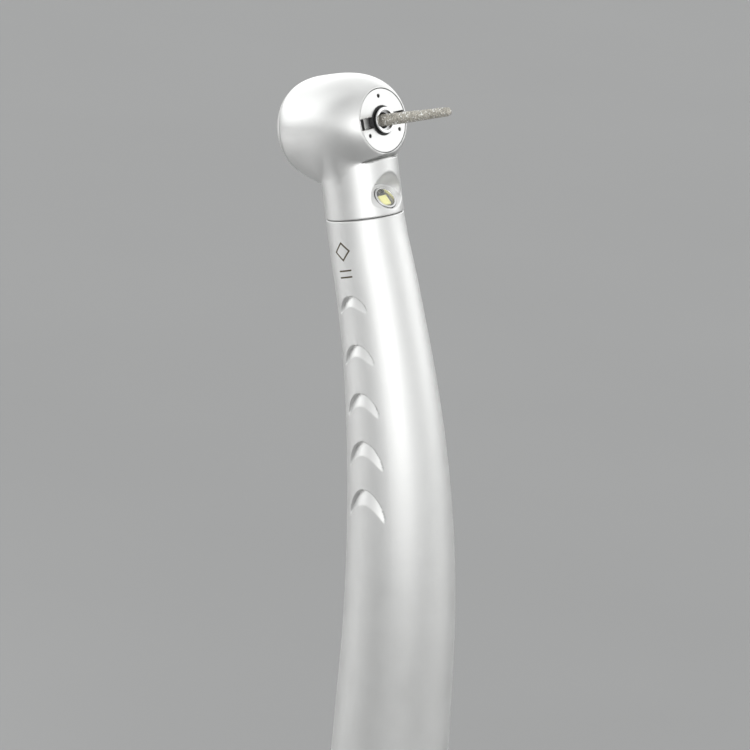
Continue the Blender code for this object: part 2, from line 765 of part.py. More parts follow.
ROUTES = {
    "drive_air_tube": ((DRIVE_START, 0.0, DRIVE_BACK), (48.0, 0.0, DRIVE_BACK), (62.0, *DRIVE_PORT[:2])),
    "water_tube": line_route(-1.0, 0.2),
    "chip_air_tube": line_route(1.0, 0.2),
    "led_wire_positive": wire_route(-1.0),
    "led_wire_negative": wire_route(1.0),
}
TUBE_SIZES = {
    "drive_air_tube": (0.82, 0.6, "polished_steel"),
    "water_tube": (0.58, 0.38, "polished_steel"),
    "chip_air_tube": (0.58, 0.38, "polished_steel"),
    "led_wire_positive": (0.2, None, "red_wire"),
    "led_wire_negative": (0.2, None, "black_wire"),
}
TUBE_ENDS = {
    "drive_air_tube": (DRIVE_START, JOINT_AT + 5.4),
    "water_tube": (LINE_START, NECK_TOP),
    "chip_air_tube": (LINE_START, NECK_TOP),
    "led_wire_positive": (WIRE_START, WIRE_END),
    "led_wire_negative": (WIRE_START, WIRE_END),
}


SPACERS = {"tube_spacer_rear": 65.0, "tube_spacer_front": 91.0}
SPACER_HALF = 0.6
LINE_PLAY = 0.12
WINDOWS = ((0.3, 0.6), (0.62, -0.42), (-0.62, -0.42))  # as shares of a spacer's radius
WINDOW_RADIUS = 0.8


def make_lines():
    for name, route in ROUTES.items():
        outer, inner, material = TUBE_SIZES[name]
        sides = 8 if inner else 6
        routed_tube(name, route, lengths_between(*TUBE_ENDS[name]), outer, inner, material, sides)
    inlet = ((15.2, 0.0, DRIVE_HOLE[1]), (17.0, 0.0, DRIVE_HOLE[1]), (20.6, 0.0, INLET_BACK))
    stations = lengths_between(15.2, 20.8, curved_step=1.2)
    routed_tube("inlet_air_tube", inlet, stations, *TUBE_SIZES["drive_air_tube"])


def make_spacer(name, length):
    """A disc that carries the lines across the grip, with windows that let the exhaust air past."""
    point, tangent, _ = on_centreline(length)
    frame = add_frame(name + "_frame", point, -math.degrees(math.atan2(tangent.y, tangent.z)))
    radius = interpolate(GRIP_OUTSIDE, length)[0] - GRIP_WALL - LINE_PLAY
    disc = turned(name, rod_profile(radius, -SPACER_HALF, SPACER_HALF), 32, "aluminium", frame)
    holes = []
    for tube, route in ROUTES.items():
        x, y = interpolate(route, length, eased=True)
        holes.append((x, y, TUBE_SIZES[tube][0] + LINE_PLAY))
    holes += [(x * radius, y * radius, WINDOW_RADIUS) for x, y in WINDOWS]
    cut(disc, drills(name + "_tool", holes, -2.0, 2.0, frame, 8))


# ---------------------------------------------------------------- generator


def make_generator():
    low, high = GEN_SPAN
    fit = GEN_BORE - 0.05
    turned("generator_housing", tube_profile(GEN_BORE, GEN_RADIUS, low, high), 32, "aluminium")
    for end, base, port in (
        ("rear", low, (0.0, INLET_BACK, 0.95)),
        ("front", high - GEN_CAP, (0.0, DRIVE_BACK, 0.90)),
    ):
        name = "generator_" + end + "_cap"
        cap = turned(name, tube_profile(1.0, fit, base, base + GEN_CAP), 24, "aluminium")
        wires = [(side * WIRE_EXIT[0], WIRE_EXIT[1], 0.35) for side in (-1.0, 1.0)]
        cut(cap, drills(name + "_tool", [port, *wires], base - 1.0, base + GEN_CAP + 1.0, None, 9))
    for end, base in (("rear", low + 0.1), ("front", high - 0.1 - GEN_CAP)):
        bush = tube_profile(GEN_SHAFT + 0.05, 0.96, base, base + GEN_CAP)
        turned("generator_" + end + "_bush", bush, 16, "brass")
    turned("generator_shaft", rod_profile(GEN_SHAFT, low + 0.3, high - 0.3), 12, "polished_steel")
    around_shaft = GEN_SHAFT + 0.04
    turned("generator_magnet", tube_profile(around_shaft, 1.45, *MAGNET_SPAN), 20, "magnet")

    blade = ((0.0, 1.1), (0.35, 1.3), (0.6, 2.7), (0.8, 2.7))
    fan = repeated(blade, FAN_BLADES)
    ring_prism("generator_impeller", fan, at_radius(fan, around_shaft), *FAN_SPAN, "aluminium")

    tooth = (
        (-0.1, 1.7), (0.0, 1.68), (0.1, 1.7), (0.16, 2.5), (0.3, 2.5), (0.5, 2.5), (0.7, 2.5), (0.84, 2.5),
    )
    inside = repeated(tooth, STATOR_TEETH)
    ring_prism("generator_stator", at_radius(inside, fit), inside, *STATOR_SPAN, "bearing_steel")
    make_coils()


def rectangle(half_x, half_y):
    return [(-half_x, -half_y), (half_x, -half_y), (half_x, half_y), (-half_x, half_y)]


def make_coils():
    """One winding on each stator tooth, as a rectangular loop of wire round it."""
    half = (STATOR_SPAN[1] - STATOR_SPAN[0]) / 2
    for tooth, letter in zip(range(STATOR_TEETH), "abc"):
        name = "generator_coil_" + letter
        frame = add_frame(name + "_frame", (0.0, 0.0, sum(STATOR_SPAN) / 2), 0.0, 90.0)
        holder = add_frame(name + "_holder", (0.0, 0.0, 0.0), 0.0)
        holder.rotation_euler.z = math.tau * tooth / STATOR_TEETH
        frame.parent = holder
        winding, window = rectangle(half + 0.75, 1.1), rectangle(half + 0.15, 0.72)
        ring_prism(name, winding, window, 1.85, 2.2, "copper", frame)


# ---------------------------------------------------------------- tail


def make_tail():
    thread = [(THREAD_CREST - 0.35, 0.0)]
    for turn in range(THREAD_TURNS):
        start = 0.35 + turn * THREAD_PITCH
        thread += [(THREAD_CREST, start), (THREAD_CREST, start + 0.4), (THREAD_ROOT, start + 0.8)]
    outline = [
        (0.0, 0.0), *thread, (THREAD_ROOT, SHOULDER_AT), (TAIL_RADIUS, SHOULDER_AT), (TAIL_RADIUS, 12.1),
        (5.35, 12.15), (5.35, 12.95), (TAIL_RADIUS, 13.0), (TAIL_RADIUS, TAIL_BODY_END),
        (0.0, TAIL_BODY_END),
    ]
    tail = turned("tail_connector", outline, 32, "polished_steel")
    valve_seat = (WATER_HOLE[0], WATER_HOLE[1], 1.2)
    cut(
        tail,
        drills("line_tool", (DRIVE_HOLE, EXHAUST_HOLE, WATER_HOLE, CHIP_HOLE), -1.0, 18.0, None, 14),
        drills("valve_seat_tool", (valve_seat,), 11.0, 18.0, None, 17),
    )
    frame = add_frame("valve_frame", (WATER_HOLE[0], WATER_HOLE[1], 0.0), 0.0)
    valve = [
        (0.28, 11.1), (1.14, 11.1), (1.14, 12.0), (0.8, 12.2), (0.72, 13.2), (0.42, 14.4), (0.2, 14.4),
        (0.28, 13.0),
    ]
    turned("anti_retraction_valve", valve, 12, "silicone", frame)
    torus("tail_o_ring", 5.57, 0.2, 12.55, "black_rubber", None, sides=28)

    fluted = repeated(((0.0, NUT_RADII[0]), (0.5, NUT_RADII[1])), FLUTES)
    ring_prism("retaining_nut", fluted, at_radius(fluted, THREAD_ROOT + 0.1), *NUT_SPAN, "satin_steel")


# ---------------------------------------------------------------- the assembly

clear_scene()
MADE = make_materials()

joint_point, neck_direction, neck_back = on_centreline(JOINT_AT)
head_centre = joint_point + neck_direction * HEAD_UP + neck_back * HEAD_BACK
face_centre = head_centre - heading(math.radians(HEAD_TILT + 90.0)) * FACE_AHEAD
lamp_centre = joint_point - neck_back * LAMP_AHEAD + neck_direction * LAMP_UP

NECK = add_frame("neck_frame", joint_point, -NECK_TILT)
FACE = add_frame("face_frame", face_centre, -90.0 - HEAD_TILT)
LAMP = add_frame("lamp_frame", lamp_centre, 90.0 - NECK_TILT - LAMP_TILT)

make_head_housing()
make_front_cover()
make_back_cap()
make_button()
make_spindle()
make_collet()
make_impeller()
make_bearing("front_bearing", FRONT_BEARING_AT)
make_bearing("rear_bearing", REAR_BEARING_AT)
make_cartridge_trim()
make_bur()
make_lamp()
make_grip()
make_lines()
for spacer, spacer_length in SPACERS.items():
    make_spacer(spacer, spacer_length)
make_generator()
make_tail()
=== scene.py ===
"""Fine surfaces, materials, light and camera for a high speed dental handpiece.

Lengths are millimetres in the model's own frame: +Z up the rear of the grip, the bur points to -Y.
"""

import json
import math

import bpy
import numpy as np
import openvdb
from mathutils import Matrix, Vector


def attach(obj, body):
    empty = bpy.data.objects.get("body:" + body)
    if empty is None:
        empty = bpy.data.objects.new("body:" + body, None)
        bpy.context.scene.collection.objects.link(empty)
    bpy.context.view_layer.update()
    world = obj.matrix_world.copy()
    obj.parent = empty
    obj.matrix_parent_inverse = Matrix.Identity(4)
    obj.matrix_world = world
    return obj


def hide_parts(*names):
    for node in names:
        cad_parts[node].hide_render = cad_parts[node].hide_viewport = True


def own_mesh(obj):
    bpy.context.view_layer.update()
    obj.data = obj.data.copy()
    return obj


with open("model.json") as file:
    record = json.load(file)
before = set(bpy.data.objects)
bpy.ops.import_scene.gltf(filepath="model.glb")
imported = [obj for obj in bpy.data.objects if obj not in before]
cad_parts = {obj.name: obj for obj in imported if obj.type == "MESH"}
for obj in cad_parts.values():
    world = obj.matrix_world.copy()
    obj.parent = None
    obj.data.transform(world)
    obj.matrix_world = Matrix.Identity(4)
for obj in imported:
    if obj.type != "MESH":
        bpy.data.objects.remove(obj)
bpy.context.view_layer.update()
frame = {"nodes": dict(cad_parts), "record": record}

MM = 0.001

# ---------------------------------------------------------------- the CAD model's dimensions

BENDS = ((64.0, 130.0, 19.6), (110.5, 50.0, -4.6))  # (length at the start, radius, degrees)
JOINT_AT = 114.5
NECK_TILT, HEAD_TILT = 15.0, 19.6
HEAD_UP, HEAD_BACK = 9.79, 0.94  # head axis above the joint, and behind the neck's axis
FACE_AHEAD = 5.43
HEAD_RADIUS, WIDEST_AT, NOSE_REACH, BACK_REACH, HOUSING_END = 5.70, 7.5, 8.92, 5.88, 10.9
SEAM_CHAMFER = 0.16
BELLY_RADIUS, BELLY_BACK, BELLY_UP = 4.75, 1.5, 7.45
NOSE_TRIM = (3.62, 0.25, 4.2)  # the flat under the nose: drop, drop per depth, and depth of its end
UNDERCUT = (0.32, 1.7)  # slit between the nose's flat and the neck: height, and depth of its end
UNDERCUT_SPREAD = 0.12  # how far the slit reaches outside the barrel's round surface
NECK_RADIUS, SPIGOT_RADIUS, SPIGOT_LENGTH = 4.27, 3.7, 5.0
NECK_BORE = (0.6, 2.65)  # centre behind the neck's axis, and radius
COVER_RADIUS, COVER_DEPTH, COVER_BORE, COVER_SET_BACK = 3.45, 1.15, 1.62, 0.06
SPINDLE_RADIUS, NOSE_RADIUS, NOSE_PROUD, SPINDLE_END = 1.50, 1.42, 0.42, 10.3
NOSE_FLANGE, NOSE_WAIST = 0.14, 1.24
SPRAY_CIRCLE, SPRAY_HOLE = 2.67, 0.2
SLOT_WIDTH, SLOT_END, SLOT_DEPTH, POCKET_START = 1.2, 3.36, 0.5, 2.45
CAP_END, CAP_HOLE, CAP_BORE, CAP_SKIRT = 12.3, 3.42, 3.95, 4.45
SPRING_MIDDLE, SPRING_WAVE, SPRING_THICKNESS, SPRING_SEAT = 11.275, 0.18, 0.10, 11.0
BUR_REACH, BUR_ROOT, BUR_TIP, SHANK_RADIUS, BUR_TAIL = 10.0, 0.67, 0.49, 0.80, 9.0
LAMP_AHEAD, LAMP_UP, LAMP_TILT, LAMP_RADIUS = 3.35, 1.8, 36.3, 1.32
LAMP_NOTCH = (2.3, 1.72)  # half-width and half-height of the pocket over the lens
LENS_BASE, CHIP_CENTRE, CHIP_HALF, CHIP_SPAN, BOARD_TOP = -0.15, (0.11, -0.08), 0.60, (-0.48, -0.30), -0.50
DRIVE_PORT, EXHAUST_PORT = (-1.05, 1.7, 0.86), (1.15, 1.6, 1.00)
SEAT_START = 108.5  # where the bore narrows to hold the head's spigot
GRIP_OUTSIDE = (
    (10.5, 6.45), (20.0, 6.68), (30.0, 6.76), (46.0, 6.60), (63.0, 6.27), (70.0, 6.12), (77.0, 5.93),
    (84.0, 5.64), (90.0, 5.35), (96.0, 5.01), (102.0, 4.68), (SEAT_START, 4.43), (110.5, 4.36),
    (114.42, 4.22),
)
GRIP_WALL, SPIGOT_SEAT, TAIL_SEAT = 0.85, 3.75, 5.80
CRESCENTS, CRESCENT_FIRST, CRESCENT_STEP = 5, 106.3, 5.29
THREAD_CREST, THREAD_ROOT, THREAD_TURNS, THREAD_PITCH = 5.55, 5.20, 4, 1.4
TAIL_HOLES = ((0.0, 2.9, 1.30), (0.0, -2.8, 1.60), (-3.1, 0.0, 0.80), (3.1, 0.0, 0.80))
TAIL_BODY_END = 16.3


def heading(angle):
    """Unit vector at an angle from +Z towards +Y."""
    return Vector((0.0, math.sin(angle), math.cos(angle)))


def on_centreline(length):
    """(point, tangent, back) at a length from the tail, in millimetres."""
    point, angle, reached = Vector(), 0.0, 0.0
    for start, radius, degrees in BENDS:
        point += heading(angle) * max(min(length, start) - reached, 0.0)
        whole = radius * math.radians(abs(degrees))
        turned_by = math.copysign(min(max(length - start, 0.0), whole) / radius, degrees)
        chord = 2.0 * radius * math.sin(abs(turned_by) / 2.0)
        point += heading(angle + turned_by / 2.0) * chord
        angle += turned_by
        reached = start + whole
    point += heading(angle) * max(length - reached, 0.0)
    return point, heading(angle), heading(angle + math.pi / 2)


def local_frame(origin, tilt):
    """A frame in millimetres at a point, turned about X by tilt degrees."""
    return Matrix.Translation(origin) @ Matrix.Rotation(math.radians(tilt), 4, "X")


JOINT, NECK_AXIS, BACK = on_centreline(JOINT_AT)
HEAD_CENTRE = JOINT + NECK_AXIS * HEAD_UP + BACK * HEAD_BACK
WORLD = Matrix.Identity(4)
NECK = local_frame(JOINT, -NECK_TILT)
FACE = local_frame(HEAD_CENTRE - heading(math.radians(HEAD_TILT + 90.0)) * FACE_AHEAD, -90.0 - HEAD_TILT)
LAMP = local_frame(JOINT - BACK * LAMP_AHEAD + NECK_AXIS * LAMP_UP, 90.0 - NECK_TILT - LAMP_TILT)

# ---------------------------------------------------------------- materials


class Graph:
    """Short names for building one material's nodes."""

    def __init__(self, name):
        self.material = bpy.data.materials.new(name)
        self.material.use_nodes = True
        self.tree = self.material.node_tree
        self.shader = self.tree.nodes["Principled BSDF"]
        self.place = self.node("ShaderNodeTexCoord").outputs["Object"]

    def node(self, kind, **settings):
        made = self.tree.nodes.new(kind)
        for key, value in settings.items():
            setattr(made, key, value)
        return made

    def link(self, source, target):
        self.tree.links.new(source, target)

    def feed(self, target, value):
        if isinstance(value, bpy.types.NodeSocket):
            self.link(value, target)
        else:
            target.default_value = value

    def math(self, operation, *values, clamp=False):
        made = self.node("ShaderNodeMath", operation=operation, use_clamp=clamp)
        for socket, value in zip(made.inputs, values):
            self.feed(socket, value)
        return made.outputs[0]

    def noise(self, size_mm, detail=2.0, stretch=(1.0, 1.0, 1.0), roughness=0.5):
        """Noise whose features are about size_mm across."""
        mapping = self.node("ShaderNodeMapping")
        self.link(self.place, mapping.inputs["Vector"])
        mapping.inputs["Scale"].default_value = [1.0 / (size_mm * MM * s) for s in stretch]
        made = self.node("ShaderNodeTexNoise")
        self.link(mapping.outputs[0], made.inputs["Vector"])
        made.inputs["Scale"].default_value = 1.0
        made.inputs["Detail"].default_value = detail
        made.inputs["Roughness"].default_value = roughness
        return made.outputs["Fac"]

    def cells(self, size_mm):
        """Cells about size_mm across, each with its own colour and distance."""
        mapping = self.node("ShaderNodeMapping")
        self.link(self.place, mapping.inputs["Vector"])
        mapping.inputs["Scale"].default_value = [1.0 / (size_mm * MM)] * 3
        made = self.node("ShaderNodeTexVoronoi")
        self.link(mapping.outputs[0], made.inputs["Vector"])
        made.inputs["Scale"].default_value = 1.0
        return made

    def span(self, value, low, high, from_low=0.3, from_high=0.7):
        made = self.node("ShaderNodeMapRange")
        self.link(value, made.inputs["Value"])
        limits = {"From Min": from_low, "From Max": from_high, "To Min": low, "To Max": high}
        for name, number in limits.items():
            made.inputs[name].default_value = number
        return made.outputs[0]

    def mix(self, factor, first, second):
        made = self.node("ShaderNodeMix", data_type="RGBA")
        self.feed(made.inputs["Factor"], factor)
        self.feed(made.inputs["A"], first)
        self.feed(made.inputs["B"], second)
        return made.outputs["Result"]

    def bump(self, height, depth_mm, strength=1.0, below=None):
        made = self.node("ShaderNodeBump")
        made.inputs["Distance"].default_value = depth_mm * MM
        made.inputs["Strength"].default_value = strength
        self.link(height, made.inputs["Height"])
        if below is not None:
            self.link(below, made.inputs["Normal"])
        return made.outputs["Normal"]

    def set(self, **values):
        for name, value in values.items():
            self.feed(self.shader.inputs[name.replace("_", " ").title().replace("Ior", "IOR")], value)


def tone(colour, factor=1.0):
    return (colour[0] * factor, colour[1] * factor, colour[2] * factor, 1.0)


def grained_metal(name, colour, roughness, grain_mm=0.09, depth_mm=0.004, spread=0.08, metallic=1.0):
    """Blasted or ground metal: fine grain, and soft changes of tone and gloss over millimetres."""
    graph = Graph(name)
    grain = graph.noise(grain_mm, detail=2.0)
    cloud = graph.noise(2.3, detail=3.0)
    shade = graph.mix(graph.span(cloud, 0.0, 1.0), tone(colour, 0.97), tone(colour, 1.0))
    shade = graph.mix(graph.span(grain, 0.25, 0.0), shade, tone(colour, 0.86))
    cloudy = graph.span(cloud, roughness - 0.02, roughness + 0.02)
    rough = graph.math("ADD", graph.span(grain, -spread, spread), cloudy)
    graph.set(base_color=shade, roughness=rough, metallic=metallic)
    graph.link(graph.bump(grain, depth_mm), graph.shader.inputs["Normal"])
    return graph


def plastic(name, colour, roughness, grain_mm=0.15, depth_mm=0.002):
    return grained_metal(name, colour, roughness, grain_mm, depth_mm, spread=0.04, metallic=0.0)


def etched_handle():
    """The grip's blasted steel with a small etched mark: a diamond outline over two bars."""
    graph = grained_metal("handle_steel", (0.80, 0.80, 0.79), 0.44, grain_mm=0.10, depth_mm=0.006)
    point, tangent, back = on_centreline(110.0)
    offset = graph.node("ShaderNodeVectorMath", operation="SUBTRACT")
    graph.link(graph.place, offset.inputs[0])
    offset.inputs[1].default_value = point * MM

    def along(direction):
        dot = graph.node("ShaderNodeVectorMath", operation="DOT_PRODUCT")
        graph.link(offset.outputs[0], dot.inputs[0])
        dot.inputs[1].default_value = direction / MM
        return dot.outputs["Value"]

    across, up, side = along(back), along(tangent), along(Vector((1.0, 0.0, 0.0)))
    raised = graph.math("ABSOLUTE", graph.math("SUBTRACT", up, 1.15))
    ring = graph.math("ADD", graph.math("ABSOLUTE", across), raised)
    diamond = graph.math("LESS_THAN", graph.math("ABSOLUTE", graph.math("SUBTRACT", ring, 0.95)), 0.13)
    pair = graph.math("ABSOLUTE", graph.math("ADD", up, 1.30))
    bars = graph.math("LESS_THAN", graph.math("ABSOLUTE", graph.math("SUBTRACT", pair, 0.35)), 0.09)
    short = graph.math("LESS_THAN", graph.math("ABSOLUTE", across), 0.875)
    mark = graph.math("MAXIMUM", diamond, graph.math("MULTIPLY", bars, short))
    mark = graph.math("MULTIPLY", mark, graph.math("LESS_THAN", side, 0.0))
    colour = graph.shader.inputs["Base Color"].links[0].from_socket
    graph.set(base_color=graph.mix(mark, colour, (0.12, 0.10, 0.07, 1.0)))
    return graph.material


def diamond_grit():
    """Crystals set in nickel: each has its own tone, and a few get a near-white painted glint in their
    colour.
    """
    graph = Graph("diamond_grit")
    crystals = graph.cells(0.13)
    tint = graph.node("ShaderNodeSeparateColor")
    graph.link(crystals.outputs["Color"], tint.inputs[0])
    body = graph.mix(tint.outputs[0], (0.30, 0.28, 0.24, 1.0), (0.66, 0.63, 0.56, 1.0))
    # Painted glint: a few crystals are coloured near-white to stand in for glints of light.
    painted_glint = graph.math("GREATER_THAN", tint.outputs[1], 0.88)
    graph.set(base_color=graph.mix(painted_glint, body, (0.95, 0.95, 0.92, 1.0)))
    graph.set(roughness=graph.span(tint.outputs[2], 0.25, 0.6, 0.0, 1.0), metallic=0.35)
    facets = graph.bump(crystals.outputs["Distance"], 0.03)
    graph.link(graph.bump(graph.noise(0.05), 0.01, below=facets), graph.shader.inputs["Normal"])
    return graph.material


def clear_lens():
    graph = Graph("clear_glass")
    graph.set(base_color=(0.97, 0.99, 0.99, 1.0), roughness=graph.span(graph.noise(0.6), 0.02, 0.05))
    graph.set(alpha=0.10, ior=1.5)
    return graph.material


def phosphor():
    """Yellow phosphor under resin, with a fine powder grain."""
    graph = Graph("phosphor")
    powder = graph.noise(0.07, detail=3.0)
    yellow = graph.mix(powder, (0.95, 0.93, 0.42, 1.0), (0.80, 0.74, 0.22, 1.0))
    graph.set(base_color=yellow, roughness=0.35)
    graph.set(emission_color=(0.93, 0.90, 0.45, 1.0), emission_strength=0.25)
    graph.link(graph.bump(powder, 0.004), graph.shader.inputs["Normal"])
    return graph.material


def cap_steel():
    return grained_metal("cap_steel", (0.80, 0.80, 0.79), 0.36, grain_mm=0.07, depth_mm=0.003).material


SATIN = grained_metal("satin_steel", (0.80, 0.80, 0.79), 0.40, grain_mm=0.08, depth_mm=0.005).material
POLISHED = grained_metal("polished_steel", (0.78, 0.78, 0.78), 0.17, 0.25, 0.001, 0.03).material
LOOKS = {
    "satin_steel": SATIN,
    "polished_steel": POLISHED,
    "bearing_steel": grained_metal("bearing_steel", (0.60, 0.61, 0.63), 0.22, 0.12, 0.001, 0.04).material,
    "cage_resin": plastic("cage_resin", (0.42, 0.25, 0.12), 0.5),
    "aluminium": grained_metal("aluminium", (0.76, 0.77, 0.78), 0.34, 0.12, 0.003).material,
    "brass": grained_metal("brass", (0.78, 0.60, 0.28), 0.3, 0.12, 0.002).material,
    "diamond_grit": diamond_grit(),
    "black_rubber": plastic("black_rubber", (0.03, 0.03, 0.03), 0.65, 0.06, 0.004),
    "clear_glass": clear_lens(),
    "phosphor": phosphor(),
    "circuit_board": plastic("circuit_board", (0.42, 0.40, 0.34), 0.45),
    "magnet": grained_metal("magnet", (0.25, 0.25, 0.27), 0.3).material,
    "copper": grained_metal("copper", (0.76, 0.36, 0.20), 0.3, 0.15, 0.004).material,
    "red_wire": plastic("red_wire", (0.60, 0.05, 0.04), 0.45),
    "black_wire": plastic("black_wire", (0.04, 0.04, 0.04), 0.45),
    "silicone": plastic("silicone", (0.75, 0.80, 0.82), 0.4),
}
LOOKS = {key: look.material if isinstance(look, Graph) else look for key, look in LOOKS.items()}
HANDLE_STEEL = etched_handle()
COVER_STEEL = cap_steel()
BLACK_EPOXY = plastic("black_epoxy", (0.02, 0.02, 0.02), 0.35).material

SLOT_OF = {part["node"]: part["material_slot"] for part in frame["record"]["subparts"]}
BODY_OF = {node: body for body, nodes in frame["record"]["behaviour"]["bodies"].items() for node in nodes}


def paint_cad_nodes():
    for name, thing in frame["nodes"].items():
        thing.data.materials.clear()
        thing.data.materials.append(LOOKS[SLOT_OF[name]])


# ---------------------------------------------------------------- mesh tools


def add_piece(name, points, faces, place, material, node=None, sharp=35.0, body=None, slot=None):
    """A piece from points in millimetres in the frame `place`. It replaces a CAD node or rides on a body."""
    points = np.asarray(points, dtype=float)
    turn = np.array(place.to_3x3())
    world = (points @ turn.T + np.array(place.translation)) * MM
    mesh = bpy.data.meshes.new(name)
    mesh.from_pydata(world.tolist(), [], faces)
    mesh.validate()
    mesh.update()
    mesh.shade_smooth()
    mesh.set_sharp_from_angle(angle=math.radians(sharp))
    mesh.materials.append(material)
    piece = bpy.data.objects.new(name, mesh)
    bpy.context.scene.collection.objects.link(piece)
    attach(piece, body or BODY_OF[node])
    if node:
        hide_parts(node)
    return piece


def rounded(outline, steps=5):
    """Rounds the corners of a closed outline of (radius, height, corner radius) points."""
    result = []
    count = len(outline)
    for i, (r, z, corner) in enumerate(outline):
        here = Vector((r, z))
        before = Vector(outline[i - 1][:2]) - here
        after = Vector(outline[(i + 1) % count][:2]) - here
        if not corner:
            result.append((r, z))
            continue
        half = before.angle(after) / 2.0
        reach = min(corner / math.tan(half), 0.48 * before.length, 0.48 * after.length)
        radius = reach * math.tan(half)
        start, end = here + before.normalized() * reach, here + after.normalized() * reach
        centre = here + (before.normalized() + after.normalized()).normalized() * (radius / math.sin(half))
        first, last = start - centre, end - centre
        sweep = first.angle_signed(last)
        for k in range(steps + 1):
            turned = first.copy()
            turned.rotate(Matrix.Rotation(-sweep * k / steps, 2))
            result.append(tuple(centre + turned))
    return result


def turned_mesh(profile, sides):
    """Points and faces of an outline of (radius, height) turned about Z. Radius 0 closes on the axis."""
    angles = np.arange(sides) * math.tau / sides
    points, rings, faces = [], [], []
    for radius, height in profile:
        if radius < 1e-6:
            rings.append([len(points)])
            points.append((0.0, 0.0, height))
        else:
            rings.append(list(range(len(points), len(points) + sides)))
            points.extend(zip(radius * np.cos(angles), radius * np.sin(angles), np.full(sides, height)))
    for low, high in zip(rings, rings[1:] + rings[:1]):
        if len(low) == 1 and len(high) == 1:
            continue
        for i in range(sides):
            j = (i + 1) % sides
            corners = [low[i % len(low)], low[j % len(low)], high[j % len(high)], high[i % len(high)]]
            faces.append(tuple(dict.fromkeys(corners)))
    return points, faces


def turned(name, outline, sides, place, material, node, sharp=30.0, **more):
    points, faces = turned_mesh(rounded(outline), sides)
    return add_piece(name, points, faces, place, material, node, sharp, **more)


class Space:
    """A grid of points for building a solid from distances: negative inside, millimetres."""

    def __init__(self, low, high, voxel):
        self.low, self.voxel = np.array(low, dtype=float), voxel
        axes = [np.arange(a, b + voxel, voxel, dtype=np.float32) for a, b in zip(low, high)]
        self.x, self.y, self.z = np.meshgrid(*axes, indexing="ij", sparse=True)

    def mesh(self, distance):
        grid = openvdb.FloatGrid(3.0 * self.voxel)
        limit = 3.0 * self.voxel
        grid.copyFromArray(np.ascontiguousarray(np.clip(distance, -limit, limit), dtype=np.float32))
        points, quads = grid.convertToQuads(isovalue=0.0)
        points = np.array(points, dtype=float) * self.voxel + self.low
        quads = np.array(quads)
        a, b, c = (points[quads[:, k]] for k in range(3))
        volume = np.einsum("ij,ij->i", a, np.cross(b, c)).sum()
        if volume < 0.0:
            quads = quads[:, ::-1]
        return points, quads.tolist()


def blend_union(a, b, reach):
    """Union with a fillet of about that reach, which may be an array."""
    h = np.clip(0.5 + 0.5 * (b - a) / reach, 0.0, 1.0)
    return b + (a - b) * h - reach * h * (1.0 - h)


def blend_cut(a, tool, reach):
    """a without the tool, with the edge eased over that reach."""
    return -blend_union(-a, tool, reach)


def rod_distance(across, along, radius, low, high, edge=0.0):
    """Distance to a capped cylinder, given the distance from its axis and the height along it."""
    middle, half = (low + high) / 2.0, (high - low) / 2.0
    dr = across - (radius - edge)
    dz = np.abs(along - middle) - (half - edge)
    outside = np.sqrt(np.maximum(dr, 0.0) ** 2 + np.maximum(dz, 0.0) ** 2)
    return outside + np.minimum(np.maximum(dr, dz), 0.0) - edge


def box_distance(space, low, high, edge=0.0):
    parts = [
        np.abs(axis - (a + b) / 2.0) - ((b - a) / 2.0 - edge)
        for axis, a, b in zip((space.x, space.y, space.z), low, high)
    ]
    outside = np.sqrt(sum(np.maximum(part, 0.0) ** 2 for part in parts))
    return outside + np.minimum(np.maximum(np.maximum(parts[0], parts[1]), parts[2]), 0.0) - edge


# ---------------------------------------------------------------- head


def head_radius(depth):
    reach = NOSE_REACH if depth < WIDEST_AT else BACK_REACH
    return HEAD_RADIUS * math.sqrt(1.0 - abs((depth - WIDEST_AT) / reach) ** 3)


def barrel_distance(depth, across):
    """The egg-shaped barrel: a power curve that falls faster behind its widest point than ahead of it."""
    reach = np.where(depth < WIDEST_AT, NOSE_REACH, BACK_REACH)
    share = np.abs(depth - WIDEST_AT) / reach
    value = share**3 + (across / HEAD_RADIUS) ** 2 - 1.0
    slope = np.sqrt((3.0 * share**2 / reach) ** 2 + (2.0 * across / HEAD_RADIUS**2) ** 2)
    return value / np.maximum(slope, 0.08)


